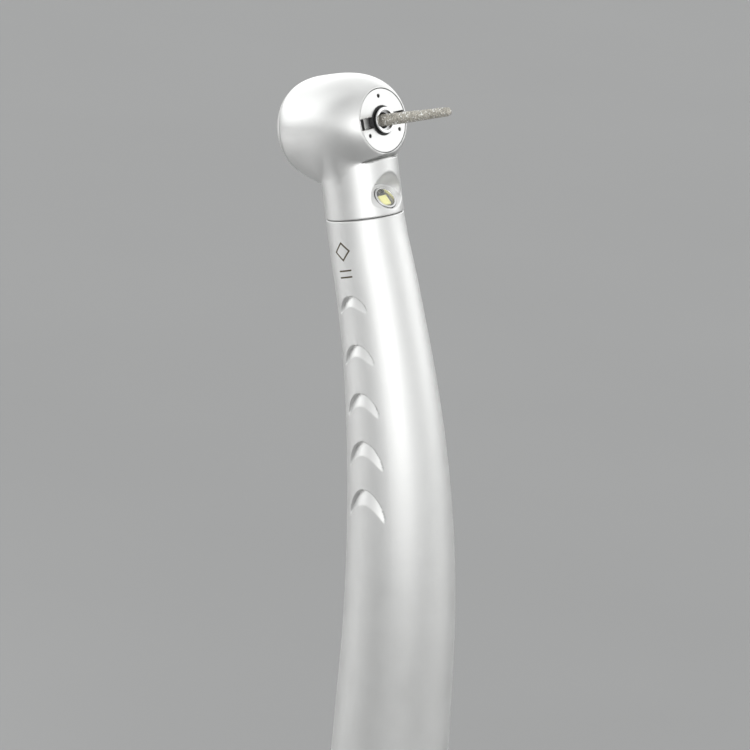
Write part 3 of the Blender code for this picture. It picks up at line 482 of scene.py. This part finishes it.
def make_head():
    """The housing: barrel, belly and neck as one smooth solid, then its bores, ports and lamp pocket."""
    space = Space((-6.0, -5.8, -5.3), (6.0, 7.4, 15.9), 0.08)
    x, y, z = space.x, space.y, space.z
    lean = math.radians(HEAD_TILT - NECK_TILT)
    depth = FACE_AHEAD + (y - HEAD_BACK) * math.cos(lean) - (z - HEAD_UP) * math.sin(lean)
    height = (y - HEAD_BACK) * math.sin(lean) + (z - HEAD_UP) * math.cos(lean)
    across = np.sqrt(x**2 + height**2)
    from_neck = np.sqrt(x**2 + y**2)

    barrel = barrel_distance(depth, across)
    barrel = blend_cut(barrel, depth, 0.12)
    chamfer = (depth - HOUSING_END + SEAM_CHAMFER + across - head_radius(HOUSING_END)) / math.sqrt(2.0)
    barrel = np.maximum(blend_cut(barrel, HOUSING_END - depth, 0.05), chamfer)
    belly = np.sqrt(x**2 + (y - BELLY_BACK) ** 2 + (z - BELLY_UP) ** 2) - BELLY_RADIUS
    body = blend_union(barrel, belly, 1.2)
    drop, slope, trim_end = NOSE_TRIM
    under_nose = (drop + slope * depth + height) / math.hypot(1.0, slope)  # positive above the flat
    body = blend_cut(body, np.maximum(under_nose, depth - trim_end), 0.15)
    neck = rod_distance(from_neck, z, NECK_RADIUS, 0.0, HEAD_UP - 1.0, 0.08)
    fillet = 0.10 + 1.1 * np.exp(-(((y + 0.6) / 1.5) ** 2))
    solid = blend_union(body, neck, fillet)
    gap, slit_end = UNDERCUT
    slit = np.maximum(np.maximum(under_nose, -under_nose - gap), depth - slit_end)
    slit = np.maximum(slit, barrel - UNDERCUT_SPREAD)
    solid = blend_cut(solid, slit, 0.05)
    spigot = rod_distance(from_neck, z, SPIGOT_RADIUS, -SPIGOT_LENGTH, 1.0, 0.15)
    spigot = np.maximum(spigot, -np.maximum(3.25 - from_neck, np.abs(z + 2.8) - 0.42))
    solid = np.minimum(solid, spigot)

    bore = rod_distance(across, depth, COVER_RADIUS + 0.05, -2.0, 2.2)
    for radius, low, high in ((CAP_BORE, 2.1, 12.0), (4.15, 4.15, 7.9), (CAP_SKIRT + 0.05, 7.9, 12.5)):
        bore = np.minimum(bore, rod_distance(across, depth, radius, low, high))
    bore_back, bore_radius = NECK_BORE
    neck_bore = rod_distance(np.sqrt(x**2 + (y - bore_back) ** 2), z, bore_radius, -6.0, 4.6)
    ports = [
        rod_distance(np.sqrt((x - px) ** 2 + (y - py) ** 2), z, radius, 4.1, 7.0)
        for px, py, radius in (DRIVE_PORT, EXHAUST_PORT)
    ]
    aim = math.radians(LAMP_TILT)
    along = -(y + LAMP_AHEAD) * math.cos(aim) + (z - LAMP_UP) * math.sin(aim)
    lift = (y + LAMP_AHEAD) * math.sin(aim) + (z - LAMP_UP) * math.cos(aim)
    off_lamp = np.sqrt(x**2 + lift**2)
    half_width, half_height = LAMP_NOTCH
    off_pocket = np.sqrt((x * half_height / half_width) ** 2 + lift**2)
    pocket = rod_distance(off_pocket, along, half_height, 0.0, 7.0, 0.08)
    lamp_hole = rod_distance(off_lamp, along, LAMP_RADIUS + 0.05, -3.2, 0.5)

    solid = blend_cut(solid, pocket, 0.08)
    for tool in (bore, neck_bore, *ports, lamp_hole):
        solid = np.maximum(solid, -tool)
    points, faces = space.mesh(solid)
    add_piece("head_housing_fine", points, faces, NECK, SATIN, "head_housing", sharp=50.0)


def make_front_cover():
    """The cover with its spray holes and slots, and behind it a black lip of painted shade in the gap round
    the nose.
    """
    space = Space((-3.7, -3.7, -0.2), (3.7, 3.7, 1.4), 0.045)
    x, y, z = space.x, space.y, space.z
    across = np.sqrt(x**2 + y**2)
    top = COVER_SET_BACK
    solid = rod_distance(across, z, COVER_RADIUS, top, COVER_DEPTH, 0.04)
    solid = blend_cut(solid, rod_distance(across, z, COVER_BORE, -1.0, 2.0), 0.04)
    half = SLOT_WIDTH / 2.0
    slots = box_distance(space, (-SLOT_END, -half, -1.0), (SLOT_END, half, top + SLOT_DEPTH), 0.06)
    for start, end in ((-SLOT_END, -POCKET_START), (POCKET_START, SLOT_END)):
        slots = np.minimum(slots, box_distance(space, (start, -half, -1.0), (end, half, 2.0), 0.06))
    solid = blend_cut(solid, slots, 0.05)
    for i in range(3):
        angle = -math.pi / 2 + math.tau * i / 3
        hole_x, hole_y = SPRAY_CIRCLE * math.cos(angle), SPRAY_CIRCLE * math.sin(angle)
        away = np.sqrt((x - hole_x) ** 2 + (y - hole_y) ** 2)
        solid = blend_cut(solid, away - SPRAY_HOLE, 0.04)
    points, faces = space.mesh(solid)
    add_piece("front_cover_fine", points, faces, FACE, COVER_STEEL, "front_cover", sharp=50.0)
    # Painted shade: a black rubber lip fills the gap between the nose and the cover's bore, where the dark
    # gap is shade.
    lip = [
        (1.31, 0.15, 0.03), (1.61, 0.15, 0.02), (1.61, 1.16, 0.0), (3.42, 1.16, 0.02), (3.42, 1.25, 0.02),
        (1.54, 1.25, 0.0), (1.54, 0.5, 0.0), (1.31, 0.5, 0.03),
    ]
    turned("front_painted_shade_lip", lip, 96, FACE, LOOKS["black_rubber"], None, body="root", slot="black_rubber")


def make_back():
    """Cap ring and domed push button."""
    start = HOUSING_END + 0.08
    rim = [(head_radius(start) - SEAM_CHAMFER, start, 0.0)]
    rim += [(head_radius(s) - 0.01, s, 0.0) for s in np.linspace(start + SEAM_CHAMFER, 11.8, 8)]
    outline = [
        (CAP_BORE, 8.2, 0.0), (CAP_SKIRT, 8.2, 0.0), (CAP_SKIRT, start, 0.0), *rim, (4.10, 12.12, 0.15),
        (3.75, CAP_END, 0.12), (CAP_HOLE, CAP_END, 0.06), (CAP_HOLE, 11.95, 0.0), (CAP_BORE, 11.95, 0.0),
    ]
    turned("back_cap_fine", outline, 128, FACE, SATIN, "back_cap")
    swing = np.linspace(0.12, math.pi / 2 - 0.1, 9)
    dome = [(3.36 * math.cos(a), 12.27 + 0.38 * math.sin(a), 0.0) for a in swing]
    button = [
        (0.0, 10.85, 0.0), (0.9, 10.85, 0.05), (0.9, 11.55, 0.0), (3.85, 11.55, 0.04), (3.85, 11.9, 0.04),
        (3.36, 11.9, 0.0), *dome, (0.0, 12.65, 0.0),
    ]
    turned("push_button_fine", button, 128, FACE, COVER_STEEL, "push_button")


def make_spring():
    """The wave washer under the button, on its own copy of the mesh. It keeps its wave here; the real washer
    flattens onto the seat plate as the button goes in.
    """
    sides = 120
    angles = np.arange(sides) * math.tau / sides
    wave = SPRING_MIDDLE + SPRING_WAVE * np.cos(3.0 * angles)
    half = SPRING_THICKNESS / 2.0
    rings = []
    for radius, lift in ((2.42, -half), (3.38, -half), (3.38, half), (2.42, half)):
        rings.append(np.stack([radius * np.cos(angles), radius * np.sin(angles), wave + lift], 1))
    faces = []
    for row in range(len(rings)):
        a, b = row * sides, ((row + 1) % len(rings)) * sides
        faces += [(a + i, a + (i + 1) % sides, b + (i + 1) % sides, b + i) for i in range(sides)]
    look = LOOKS["bearing_steel"]
    spring = add_piece("button_spring_fine", np.concatenate(rings), faces, FACE, look, "button_spring")
    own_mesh(spring)


def make_spindle():
    outline = [
        (1.08, -NOSE_PROUD, 0.05), (NOSE_RADIUS, -NOSE_PROUD, 0.06),
        (NOSE_RADIUS, -NOSE_PROUD + NOSE_FLANGE, 0.03), (NOSE_WAIST, -NOSE_PROUD + NOSE_FLANGE, 0.0),
        (NOSE_WAIST, 1.24, 0.0), (NOSE_RADIUS, 1.28, 0.0), (NOSE_RADIUS, 1.42, 0.0),
        (SPINDLE_RADIUS, 1.46, 0.0), (SPINDLE_RADIUS, SPINDLE_END, 0.06), (1.15, SPINDLE_END, 0.0),
        (1.15, 1.0, 0.0), (0.88, 1.0, 0.0), (0.88, 0.05, 0.03), (1.08, 0.0, 0.0),
    ]
    turned("rotor_spindle_fine", outline, 96, FACE, POLISHED, "rotor_spindle")


def make_bur():
    """A tapered diamond: the plated part is rough with grit, the shank is plain."""
    sides, rows = 84, 190
    rng = np.random.default_rng(7)
    tip = -BUR_REACH + BUR_TIP
    round_end = tip - BUR_TIP * np.cos(np.linspace(0.06, math.pi / 2, 10))
    heights = np.concatenate([round_end, np.linspace(tip, 0.35, rows)[1:]])
    angles = np.arange(sides) * math.tau / sides
    radii = np.where(
        heights < tip,
        np.sqrt(np.maximum(BUR_TIP**2 - (tip - heights) ** 2, 0.0)),
        BUR_TIP + (BUR_ROOT - BUR_TIP) * (heights - tip) / (0.2 - tip),
    )
    grains = rng.random((len(heights), sides))
    grains = (grains + np.roll(grains, 1, 1) + np.roll(grains, 1, 0)) / 3.0
    grains = (grains - grains.mean()) / grains.std()
    fade = np.clip((0.05 - heights) / 0.3, 0.0, 1.0) * np.clip(radii / BUR_TIP, 0.0, 1.0)
    radii = radii[:, None] + 0.022 * np.clip(grains, -1.6, 1.8) * fade[:, None] - 0.02 * fade[:, None]
    points = [(0.0, 0.0, -BUR_REACH + 0.01)]
    for height, ring in zip(heights, radii):
        points.extend(zip(ring * np.cos(angles), ring * np.sin(angles), np.full(sides, height)))
    for radius, height in ((SHANK_RADIUS, 0.6), (SHANK_RADIUS, 8.85), (0.65, BUR_TAIL)):
        points.extend(zip(radius * np.cos(angles), radius * np.sin(angles), np.full(sides, height)))
    points.append((0.0, 0.0, BUR_TAIL))
    ring_count = len(heights) + 3
    faces = [(0, 1 + (i + 1) % sides, 1 + i) for i in range(sides)]
    for row in range(ring_count - 1):
        for i in range(sides):
            j = (i + 1) % sides
            a, b = 1 + row * sides, 1 + (row + 1) * sides
            faces.append((a + i, a + j, b + j, b + i))
    last = 1 + (ring_count - 1) * sides
    faces += [(last + i, last + (i + 1) % sides, len(points) - 1) for i in range(sides)]
    grit = LOOKS["diamond_grit"]
    bur = add_piece("diamond_bur_fine", points, faces, FACE, grit, "diamond_bur", sharp=80.0)
    bur.data.materials.append(POLISHED)
    first_plain = sides * (1 + int(np.searchsorted(heights, 0.05)))
    for polygon in bur.data.polygons[first_plain:]:
        polygon.material_index = 1


def make_lamp():
    inner = LAMP_RADIUS - 0.22
    bezel = [(inner, -1.6, 0.0), (LAMP_RADIUS, -1.6, 0.0), (LAMP_RADIUS, 0.1, 0.08), (inner, 0.1, 0.05)]
    turned("led_bezel_fine", bezel, 96, LAMP, POLISHED, "led_bezel")
    swing = np.linspace(0.0, math.pi / 2 - 0.08, 9)
    dome = [((inner - 0.03) * math.cos(a), -0.02 + 0.2 * math.sin(a), 0.0) for a in swing]
    lens = [(0.0, LENS_BASE, 0.0), (inner - 0.03, LENS_BASE, 0.03), *dome, (0.0, 0.18, 0.0)]
    turned("led_lens_fine", lens, 96, LAMP, LOOKS["clear_glass"], "led_lens")
    x, y = CHIP_CENTRE
    low, high = CHIP_SPAN
    add_block("led_chip_fine", (x - CHIP_HALF, y - CHIP_HALF, low), (x + CHIP_HALF, y + CHIP_HALF, high),
              LOOKS["phosphor"], node="led_chip")
    drivers = (("led_driver_a", (-0.36, 0.78), (0.20, 0.16)), ("led_driver_b", (0.32, 0.72), (0.30, 0.13)))
    for name, centre, half in drivers:
        start = (centre[0] - half[0], centre[1] - half[1], BOARD_TOP + 0.01)
        end = (centre[0] + half[0], centre[1] + half[1], BOARD_TOP + 0.26)
        add_block(name, start, end, BLACK_EPOXY, body="root", slot="black_rubber")


def add_block(name, start, end, material, **more):
    """A small block with rounded edges, in the lamp's frame."""
    space = Space([a - 0.1 for a in start], [b + 0.1 for b in end], 0.025)
    points, faces = space.mesh(box_distance(space, start, end, 0.04))
    add_piece(name, points, faces, LAMP, material, **more)


# ---------------------------------------------------------------- grip


def smooth_value(stations, length):
    """Catmull-Rom interpolation through (length, value) stations."""
    places = [s[0] for s in stations]
    i = min(max(np.searchsorted(places, length) - 1, 0), len(stations) - 2)
    (x0, y0), (x1, y1) = stations[i], stations[i + 1]
    before = stations[i - 1] if i else (2 * x0 - x1, 2 * y0 - y1)
    after = stations[i + 2] if i + 2 < len(stations) else (2 * x1 - x0, 2 * y1 - y0)
    m0 = (y1 - before[1]) / (x1 - before[0])
    m1 = (after[1] - y0) / (after[0] - x0)
    t, w = (length - x0) / (x1 - x0), x1 - x0
    return (
        (2 * t**3 - 3 * t**2 + 1) * y0 + (t**3 - 2 * t**2 + t) * w * m0
        + (3 * t**2 - 2 * t**3) * y1 + (t**3 - t**2) * w * m1
    )


WALL_WIDTH = 0.12
CRESCENT_DEPTH = 0.40


def crescent_depth(across, along, half_width, leg, thickness):
    """Depth of a scooped crescent: a steep wall along its arch, then a ramp back up to the surface."""
    share = np.abs(across) / half_width
    inside = share < 1.0
    share = np.minimum(share, 1.0)
    arch = leg * (share**2 + 1.0 - np.sqrt(1.0 - share**2)) / 2.0
    below_arch = -arch - along
    width = (thickness - WALL_WIDTH) * np.sqrt(1.0 - share**4) + 0.02
    wall = np.clip(below_arch / WALL_WIDTH, 0.0, 1.0)
    wall = wall * wall * (3.0 - 2.0 * wall)
    ramp = np.clip(1.0 - (below_arch - WALL_WIDTH) / width, 0.0, 1.0)
    depth = CRESCENT_DEPTH * np.sqrt(1.0 - share**4) * wall * ramp
    return np.where(inside & (below_arch > 0.0), depth, 0.0)


def grip_lengths():
    """Rows of the grip: fine where the crescents are, coarser elsewhere."""
    lowest = CRESCENT_FIRST - (CRESCENTS - 1) * CRESCENT_STEP - 6.0
    ends = [10.5, 10.56, 10.66, 10.8]
    coarse = list(np.arange(11.5, lowest, 0.9))
    fine = list(np.arange(lowest, CRESCENT_FIRST + 0.6, 0.09))
    top = list(np.arange(CRESCENT_FIRST + 0.9, 114.0, 0.6)) + [114.2, 114.32, 114.38, 114.42]
    return ends + coarse + fine + top


def grip_angles():
    """Directions round the grip from +X towards the back: fine on both flanks."""
    flank = list(np.radians(np.arange(-34.0, 34.0, 1.0)))
    between = list(np.radians(np.arange(34.0, 146.0, 4.0)))
    half = flank + between
    return np.array(half + [a + math.pi for a in half])


def make_grip():
    angles = grip_angles()
    lengths = grip_lengths()
    outer, inner = [], []
    for length in lengths:
        point, _, back = on_centreline(length)
        radius = smooth_value(GRIP_OUTSIDE, length)
        edge = 0.0
        for end in (10.5, 114.42):
            reach = abs(length - end)
            edge += 0.12 - math.sqrt(max(0.12**2 - (0.12 - reach) ** 2, 0.0)) if reach < 0.12 else 0.0
        radii = np.full(len(angles), radius - edge)
        for index in range(CRESCENTS):
            apex = CRESCENT_FIRST - index * CRESCENT_STEP
            if not apex - 6.0 < length < apex + 0.2:
                continue
            growth = index / (CRESCENTS - 1)
            for flank in (0.0, math.pi):
                around = (angles - flank + math.pi) % math.tau - math.pi
                shape = (1.95 + 0.75 * growth, 1.75 + 1.55 * growth, 1.15 + 0.50 * growth)
                depth = crescent_depth(around * radius, length - apex, *shape)
                radii -= np.where(np.abs(around) < 0.7, depth, 0.0)
        side = np.outer(radii * np.cos(angles), (1.0, 0.0, 0.0)) + np.outer(radii * np.sin(angles), back)
        outer.append(side + np.array(point))
    for length in (114.42, SEAT_START, *np.arange(107.0, 17.0, -3.0), 16.5, 10.5):
        point, _, back = on_centreline(length)
        radius = TAIL_SEAT
        if length >= SEAT_START:
            point, back, radius = JOINT + NECK_AXIS * (length - JOINT_AT), BACK, SPIGOT_SEAT
        elif length > 16.5:
            radius = smooth_value(GRIP_OUTSIDE, length) - GRIP_WALL
        ring = np.outer(radius * np.cos(angles), (1.0, 0.0, 0.0)) + np.outer(radius * np.sin(angles), back)
        inner.append(ring + np.array(point))
    rings = outer + inner
    count = len(angles)
    points = np.concatenate(rings)
    faces = []
    for row in range(len(rings)):
        a, b = row * count, ((row + 1) % len(rings)) * count
        faces += [(a + i, b + i, b + (i + 1) % count, a + (i + 1) % count) for i in range(count)]
    add_piece("handle_shell_fine", points, faces, WORLD, HANDLE_STEEL, "handle_shell", sharp=60.0)


# ---------------------------------------------------------------- tail


def make_tail():
    space = Space((-6.0, -6.0, -0.3), (6.0, 6.0, 16.6), 0.1)
    x, y, z = space.x, space.y, space.z
    across = np.sqrt(x**2 + y**2)
    turn = np.arctan2(y, x) / math.tau
    wave = np.abs(((z / THREAD_PITCH - turn + 0.4) % 1.0) - 0.5) * 2.0
    threaded = np.clip((THREAD_TURNS * THREAD_PITCH + 0.4 - z) / 0.8, 0.0, 1.0)
    radius = THREAD_ROOT + (THREAD_CREST - THREAD_ROOT) * np.clip(1.5 * wave - 0.25, 0.0, 1.0) * threaded
    solid = rod_distance(across, z, THREAD_CREST, 0.0, 10.6, 0.3)
    solid = np.maximum(solid, (across - radius) * 0.8)
    rear = rod_distance(across, z, 5.74, 10.45, TAIL_BODY_END, 0.1)
    rear = np.maximum(rear, -np.maximum(5.35 - across, np.abs(z - 12.55) - 0.42))
    solid = np.minimum(solid, rear)
    for hx, hy, hole in TAIL_HOLES:
        away = np.sqrt((x - hx) ** 2 + (y - hy) ** 2)
        solid = blend_cut(solid, away - hole, 0.1)
    hx, hy, _ = TAIL_HOLES[2]
    seat = rod_distance(np.sqrt((x - hx) ** 2 + (y - hy) ** 2), z, 1.2, 11.0, 18.0)
    points, faces = space.mesh(np.maximum(solid, -seat))
    add_piece("tail_connector_fine", points, faces, WORLD, POLISHED, "tail_connector", sharp=50.0)


def make_nut():
    """A ring with straight flutes, rounded at both rims."""
    flutes, per_flute = 36, 8
    sides = flutes * per_flute
    angles = np.arange(sides) * math.tau / sides
    shape = np.abs(np.cos(angles * flutes / 2.0)) ** 0.7
    rows = [(6.7, 0.30), (6.76, 0.12), (6.9, 0.0), (10.18, 0.0), (10.3, 0.10), (10.38, 0.28)]
    rings = []
    for height, inset in rows:
        radii = 6.24 + 0.17 * shape - inset
        rings.append(np.stack([radii * np.cos(angles), radii * np.sin(angles), np.full(sides, height)], 1))
    for height in (10.38, 6.7):
        bore = THREAD_ROOT + 0.12
        rings.append(np.stack([bore * np.cos(angles), bore * np.sin(angles), np.full(sides, height)], 1))
    faces = []
    for row in range(len(rings)):
        a, b = row * sides, ((row + 1) % len(rings)) * sides
        faces += [(a + i, a + (i + 1) % sides, b + (i + 1) % sides, b + i) for i in range(sides)]
    add_piece("retaining_nut_fine", np.concatenate(rings), faces, WORLD, SATIN, "retaining_nut", sharp=50.0)


# ---------------------------------------------------------------- studio

CAMERA_AZIMUTH, CAMERA_ELEVATION, CAMERA_ROLL = -47.985, 18.432, 4.07
CAMERA_DISTANCE = 600.0
AIM_POINT = Vector((0.0, 12.0, 100.0))
AIM_SHIFT = (3.92, -5.51)
FOCAL_LENGTH = 263.5
FLOOR_LIGHT_HEIGHT, FLOOR_LIGHT_SPREAD = 0.30, math.radians(70.0)


def camera_axes():
    az, el, roll = (math.radians(v) for v in (CAMERA_AZIMUTH, CAMERA_ELEVATION, CAMERA_ROLL))
    right = Vector((math.cos(az), math.sin(az), 0.0))
    back = Vector((math.sin(az) * math.cos(el), -math.cos(az) * math.cos(el), math.sin(el)))
    up = back.cross(right)
    return right * math.cos(roll) + up * math.sin(roll), up * math.cos(roll) - right * math.sin(roll), back


def add_camera():
    right, up, back = camera_axes()
    eye = AIM_POINT + back * CAMERA_DISTANCE
    target = AIM_POINT + right * AIM_SHIFT[0] + up * AIM_SHIFT[1]
    away = (eye - target).normalized()
    side = up.cross(away).normalized()
    turn = Matrix((side, away.cross(side), away)).transposed().to_4x4()
    data = bpy.data.cameras.new("camera")
    data.lens, data.sensor_width = FOCAL_LENGTH, 36.0
    data.clip_start, data.clip_end = 0.01, 20.0
    camera = bpy.data.objects.new("camera", data)
    camera.matrix_world = Matrix.Translation(eye * MM) @ turn
    bpy.context.scene.collection.objects.link(camera)
    bpy.context.scene.camera = camera


def add_softbox(name, rightward, upward, towards, width, height, power):
    """A rectangular area light placed by camera axes round the head of the grip, aimed at it. Metres."""
    right, up, back = camera_axes()
    centre = Vector((0.0, 0.010, 0.100))
    spot = centre + right * rightward + up * upward + back * towards
    data = bpy.data.lights.new(name, "AREA")
    data.shape, data.size, data.size_y = "RECTANGLE", width, height
    data.energy = power
    lamp = bpy.data.objects.new(name, data)
    turn = (spot - centre).to_track_quat("Z", "Y").to_matrix().to_4x4()
    lamp.matrix_world = Matrix.Translation(spot) @ turn
    bpy.context.scene.collection.objects.link(lamp)


def add_floor_light(name, rightward, towards, size, power):
    """An area light that looks straight down, so the floor beside the object is bright. Metres."""
    right, _, back = camera_axes()
    ahead = Vector((back.x, back.y, 0.0)).normalized()
    side = Vector((right.x, right.y, 0.0)).normalized()
    data = bpy.data.lights.new(name, "AREA")
    data.shape, data.size, data.energy, data.spread = "SQUARE", size, power, FLOOR_LIGHT_SPREAD
    lamp = bpy.data.objects.new(name, data)
    lamp.location = side * rightward + ahead * towards + Vector((0.0, 0.0, FLOOR_LIGHT_HEIGHT))
    bpy.context.scene.collection.objects.link(lamp)


def add_studio():
    bpy.ops.mesh.primitive_plane_add(size=6.0, location=(0.0, 0.0, -0.00002))
    floor = bpy.context.object
    floor.name = "floor"
    graph = Graph("pale_floor")
    mottle = graph.noise(60.0, detail=2.0)
    graph.set(base_color=graph.mix(mottle, (0.30, 0.30, 0.30, 1.0), (0.32, 0.32, 0.32, 1.0)), roughness=0.7)
    floor.data.materials.append(graph.material)
    add_sky()
    add_softbox("front", 0.05, -0.05, 0.45, 0.36, 0.30, 0.26)
    add_floor_light("floor_left", -0.42, -0.05, 0.40, 1.2)
    add_floor_light("floor_right", 0.42, 0.05, 0.40, 0.9)
    bpy.context.scene.view_settings.view_transform = "Standard"


# Brightness round the horizon, by angle to the right of the camera's own direction, and by height.
ROUND_THE_HORIZON = (
    (-180, 1.80), (-125, 1.50), (-98, 1.85), (-74, 1.00), (-56, 0.90), (-14, 1.35), (0, 1.35), (30, 1.45),
    (56, 0.95), (74, 0.95), (100, 1.65), (130, 1.40), (180, 1.80),
)
BY_HEIGHT = ((-1.0, 0.45), (-0.1, 0.95), (0.12, 1.10), (0.35, 0.95), (0.65, 0.66), (1.0, 0.60))


def ramp(tree, stops, low, high):
    node = tree.nodes.new("ShaderNodeValToRGB")
    node.color_ramp.interpolation = "EASE"
    elements = node.color_ramp.elements
    for _ in range(len(stops) - 2):
        elements.new(0.5)
    for element, (place, value) in zip(elements, stops):
        element.position = (place - low) / (high - low)
        element.color = (value / 2.0, value / 2.0, value / 2.0, 1.0)
    return node


def add_sky():
    """A studio of soft lights seen as a world: panels round the object, brighter overhead."""
    world = bpy.data.worlds.new("studio")
    world.use_nodes = True
    bpy.context.scene.world = world
    tree = world.node_tree
    _, _, back = camera_axes()
    turn = tree.nodes.new("ShaderNodeMapping")
    turn.inputs["Rotation"].default_value = (0.0, 0.0, -math.atan2(back.y, back.x))
    parts = tree.nodes.new("ShaderNodeSeparateXYZ")
    angle = tree.nodes.new("ShaderNodeMath")
    angle.operation = "ARCTAN2"
    share = tree.nodes.new("ShaderNodeMapRange")
    share.inputs["From Min"].default_value, share.inputs["From Max"].default_value = -math.pi, math.pi
    height = tree.nodes.new("ShaderNodeMapRange")
    height.inputs["From Min"].default_value, height.inputs["From Max"].default_value = -1.0, 1.0
    around = ramp(tree, ROUND_THE_HORIZON, -180.0, 180.0)
    upward = ramp(tree, BY_HEIGHT, -1.0, 1.0)
    strength = tree.nodes.new("ShaderNodeMath")
    strength.operation = "MULTIPLY"
    links = tree.links.new
    links(tree.nodes.new("ShaderNodeTexCoord").outputs["Generated"], turn.inputs["Vector"])
    links(turn.outputs[0], parts.inputs[0])
    links(parts.outputs["Y"], angle.inputs[0])
    links(parts.outputs["X"], angle.inputs[1])
    links(angle.outputs[0], share.inputs["Value"])
    links(parts.outputs["Z"], height.inputs["Value"])
    links(share.outputs[0], around.inputs["Fac"])
    links(height.outputs[0], upward.inputs["Fac"])
    links(around.outputs["Color"], strength.inputs[0])
    links(upward.outputs["Color"], strength.inputs[1])
    scale = tree.nodes.new("ShaderNodeMath")
    scale.operation = "MULTIPLY"
    scale.inputs[1].default_value = 4.0
    links(strength.outputs[0], scale.inputs[0])
    links(scale.outputs[0], tree.nodes["Background"].inputs["Strength"])
    tree.nodes["Background"].inputs["Color"].default_value = (0.99, 1.0, 1.0, 1.0)


paint_cad_nodes()
make_head()
make_front_cover()
make_back()
make_spring()
make_spindle()
make_bur()
make_lamp()
make_grip()
make_tail()
make_nut()
add_camera()
add_studio()
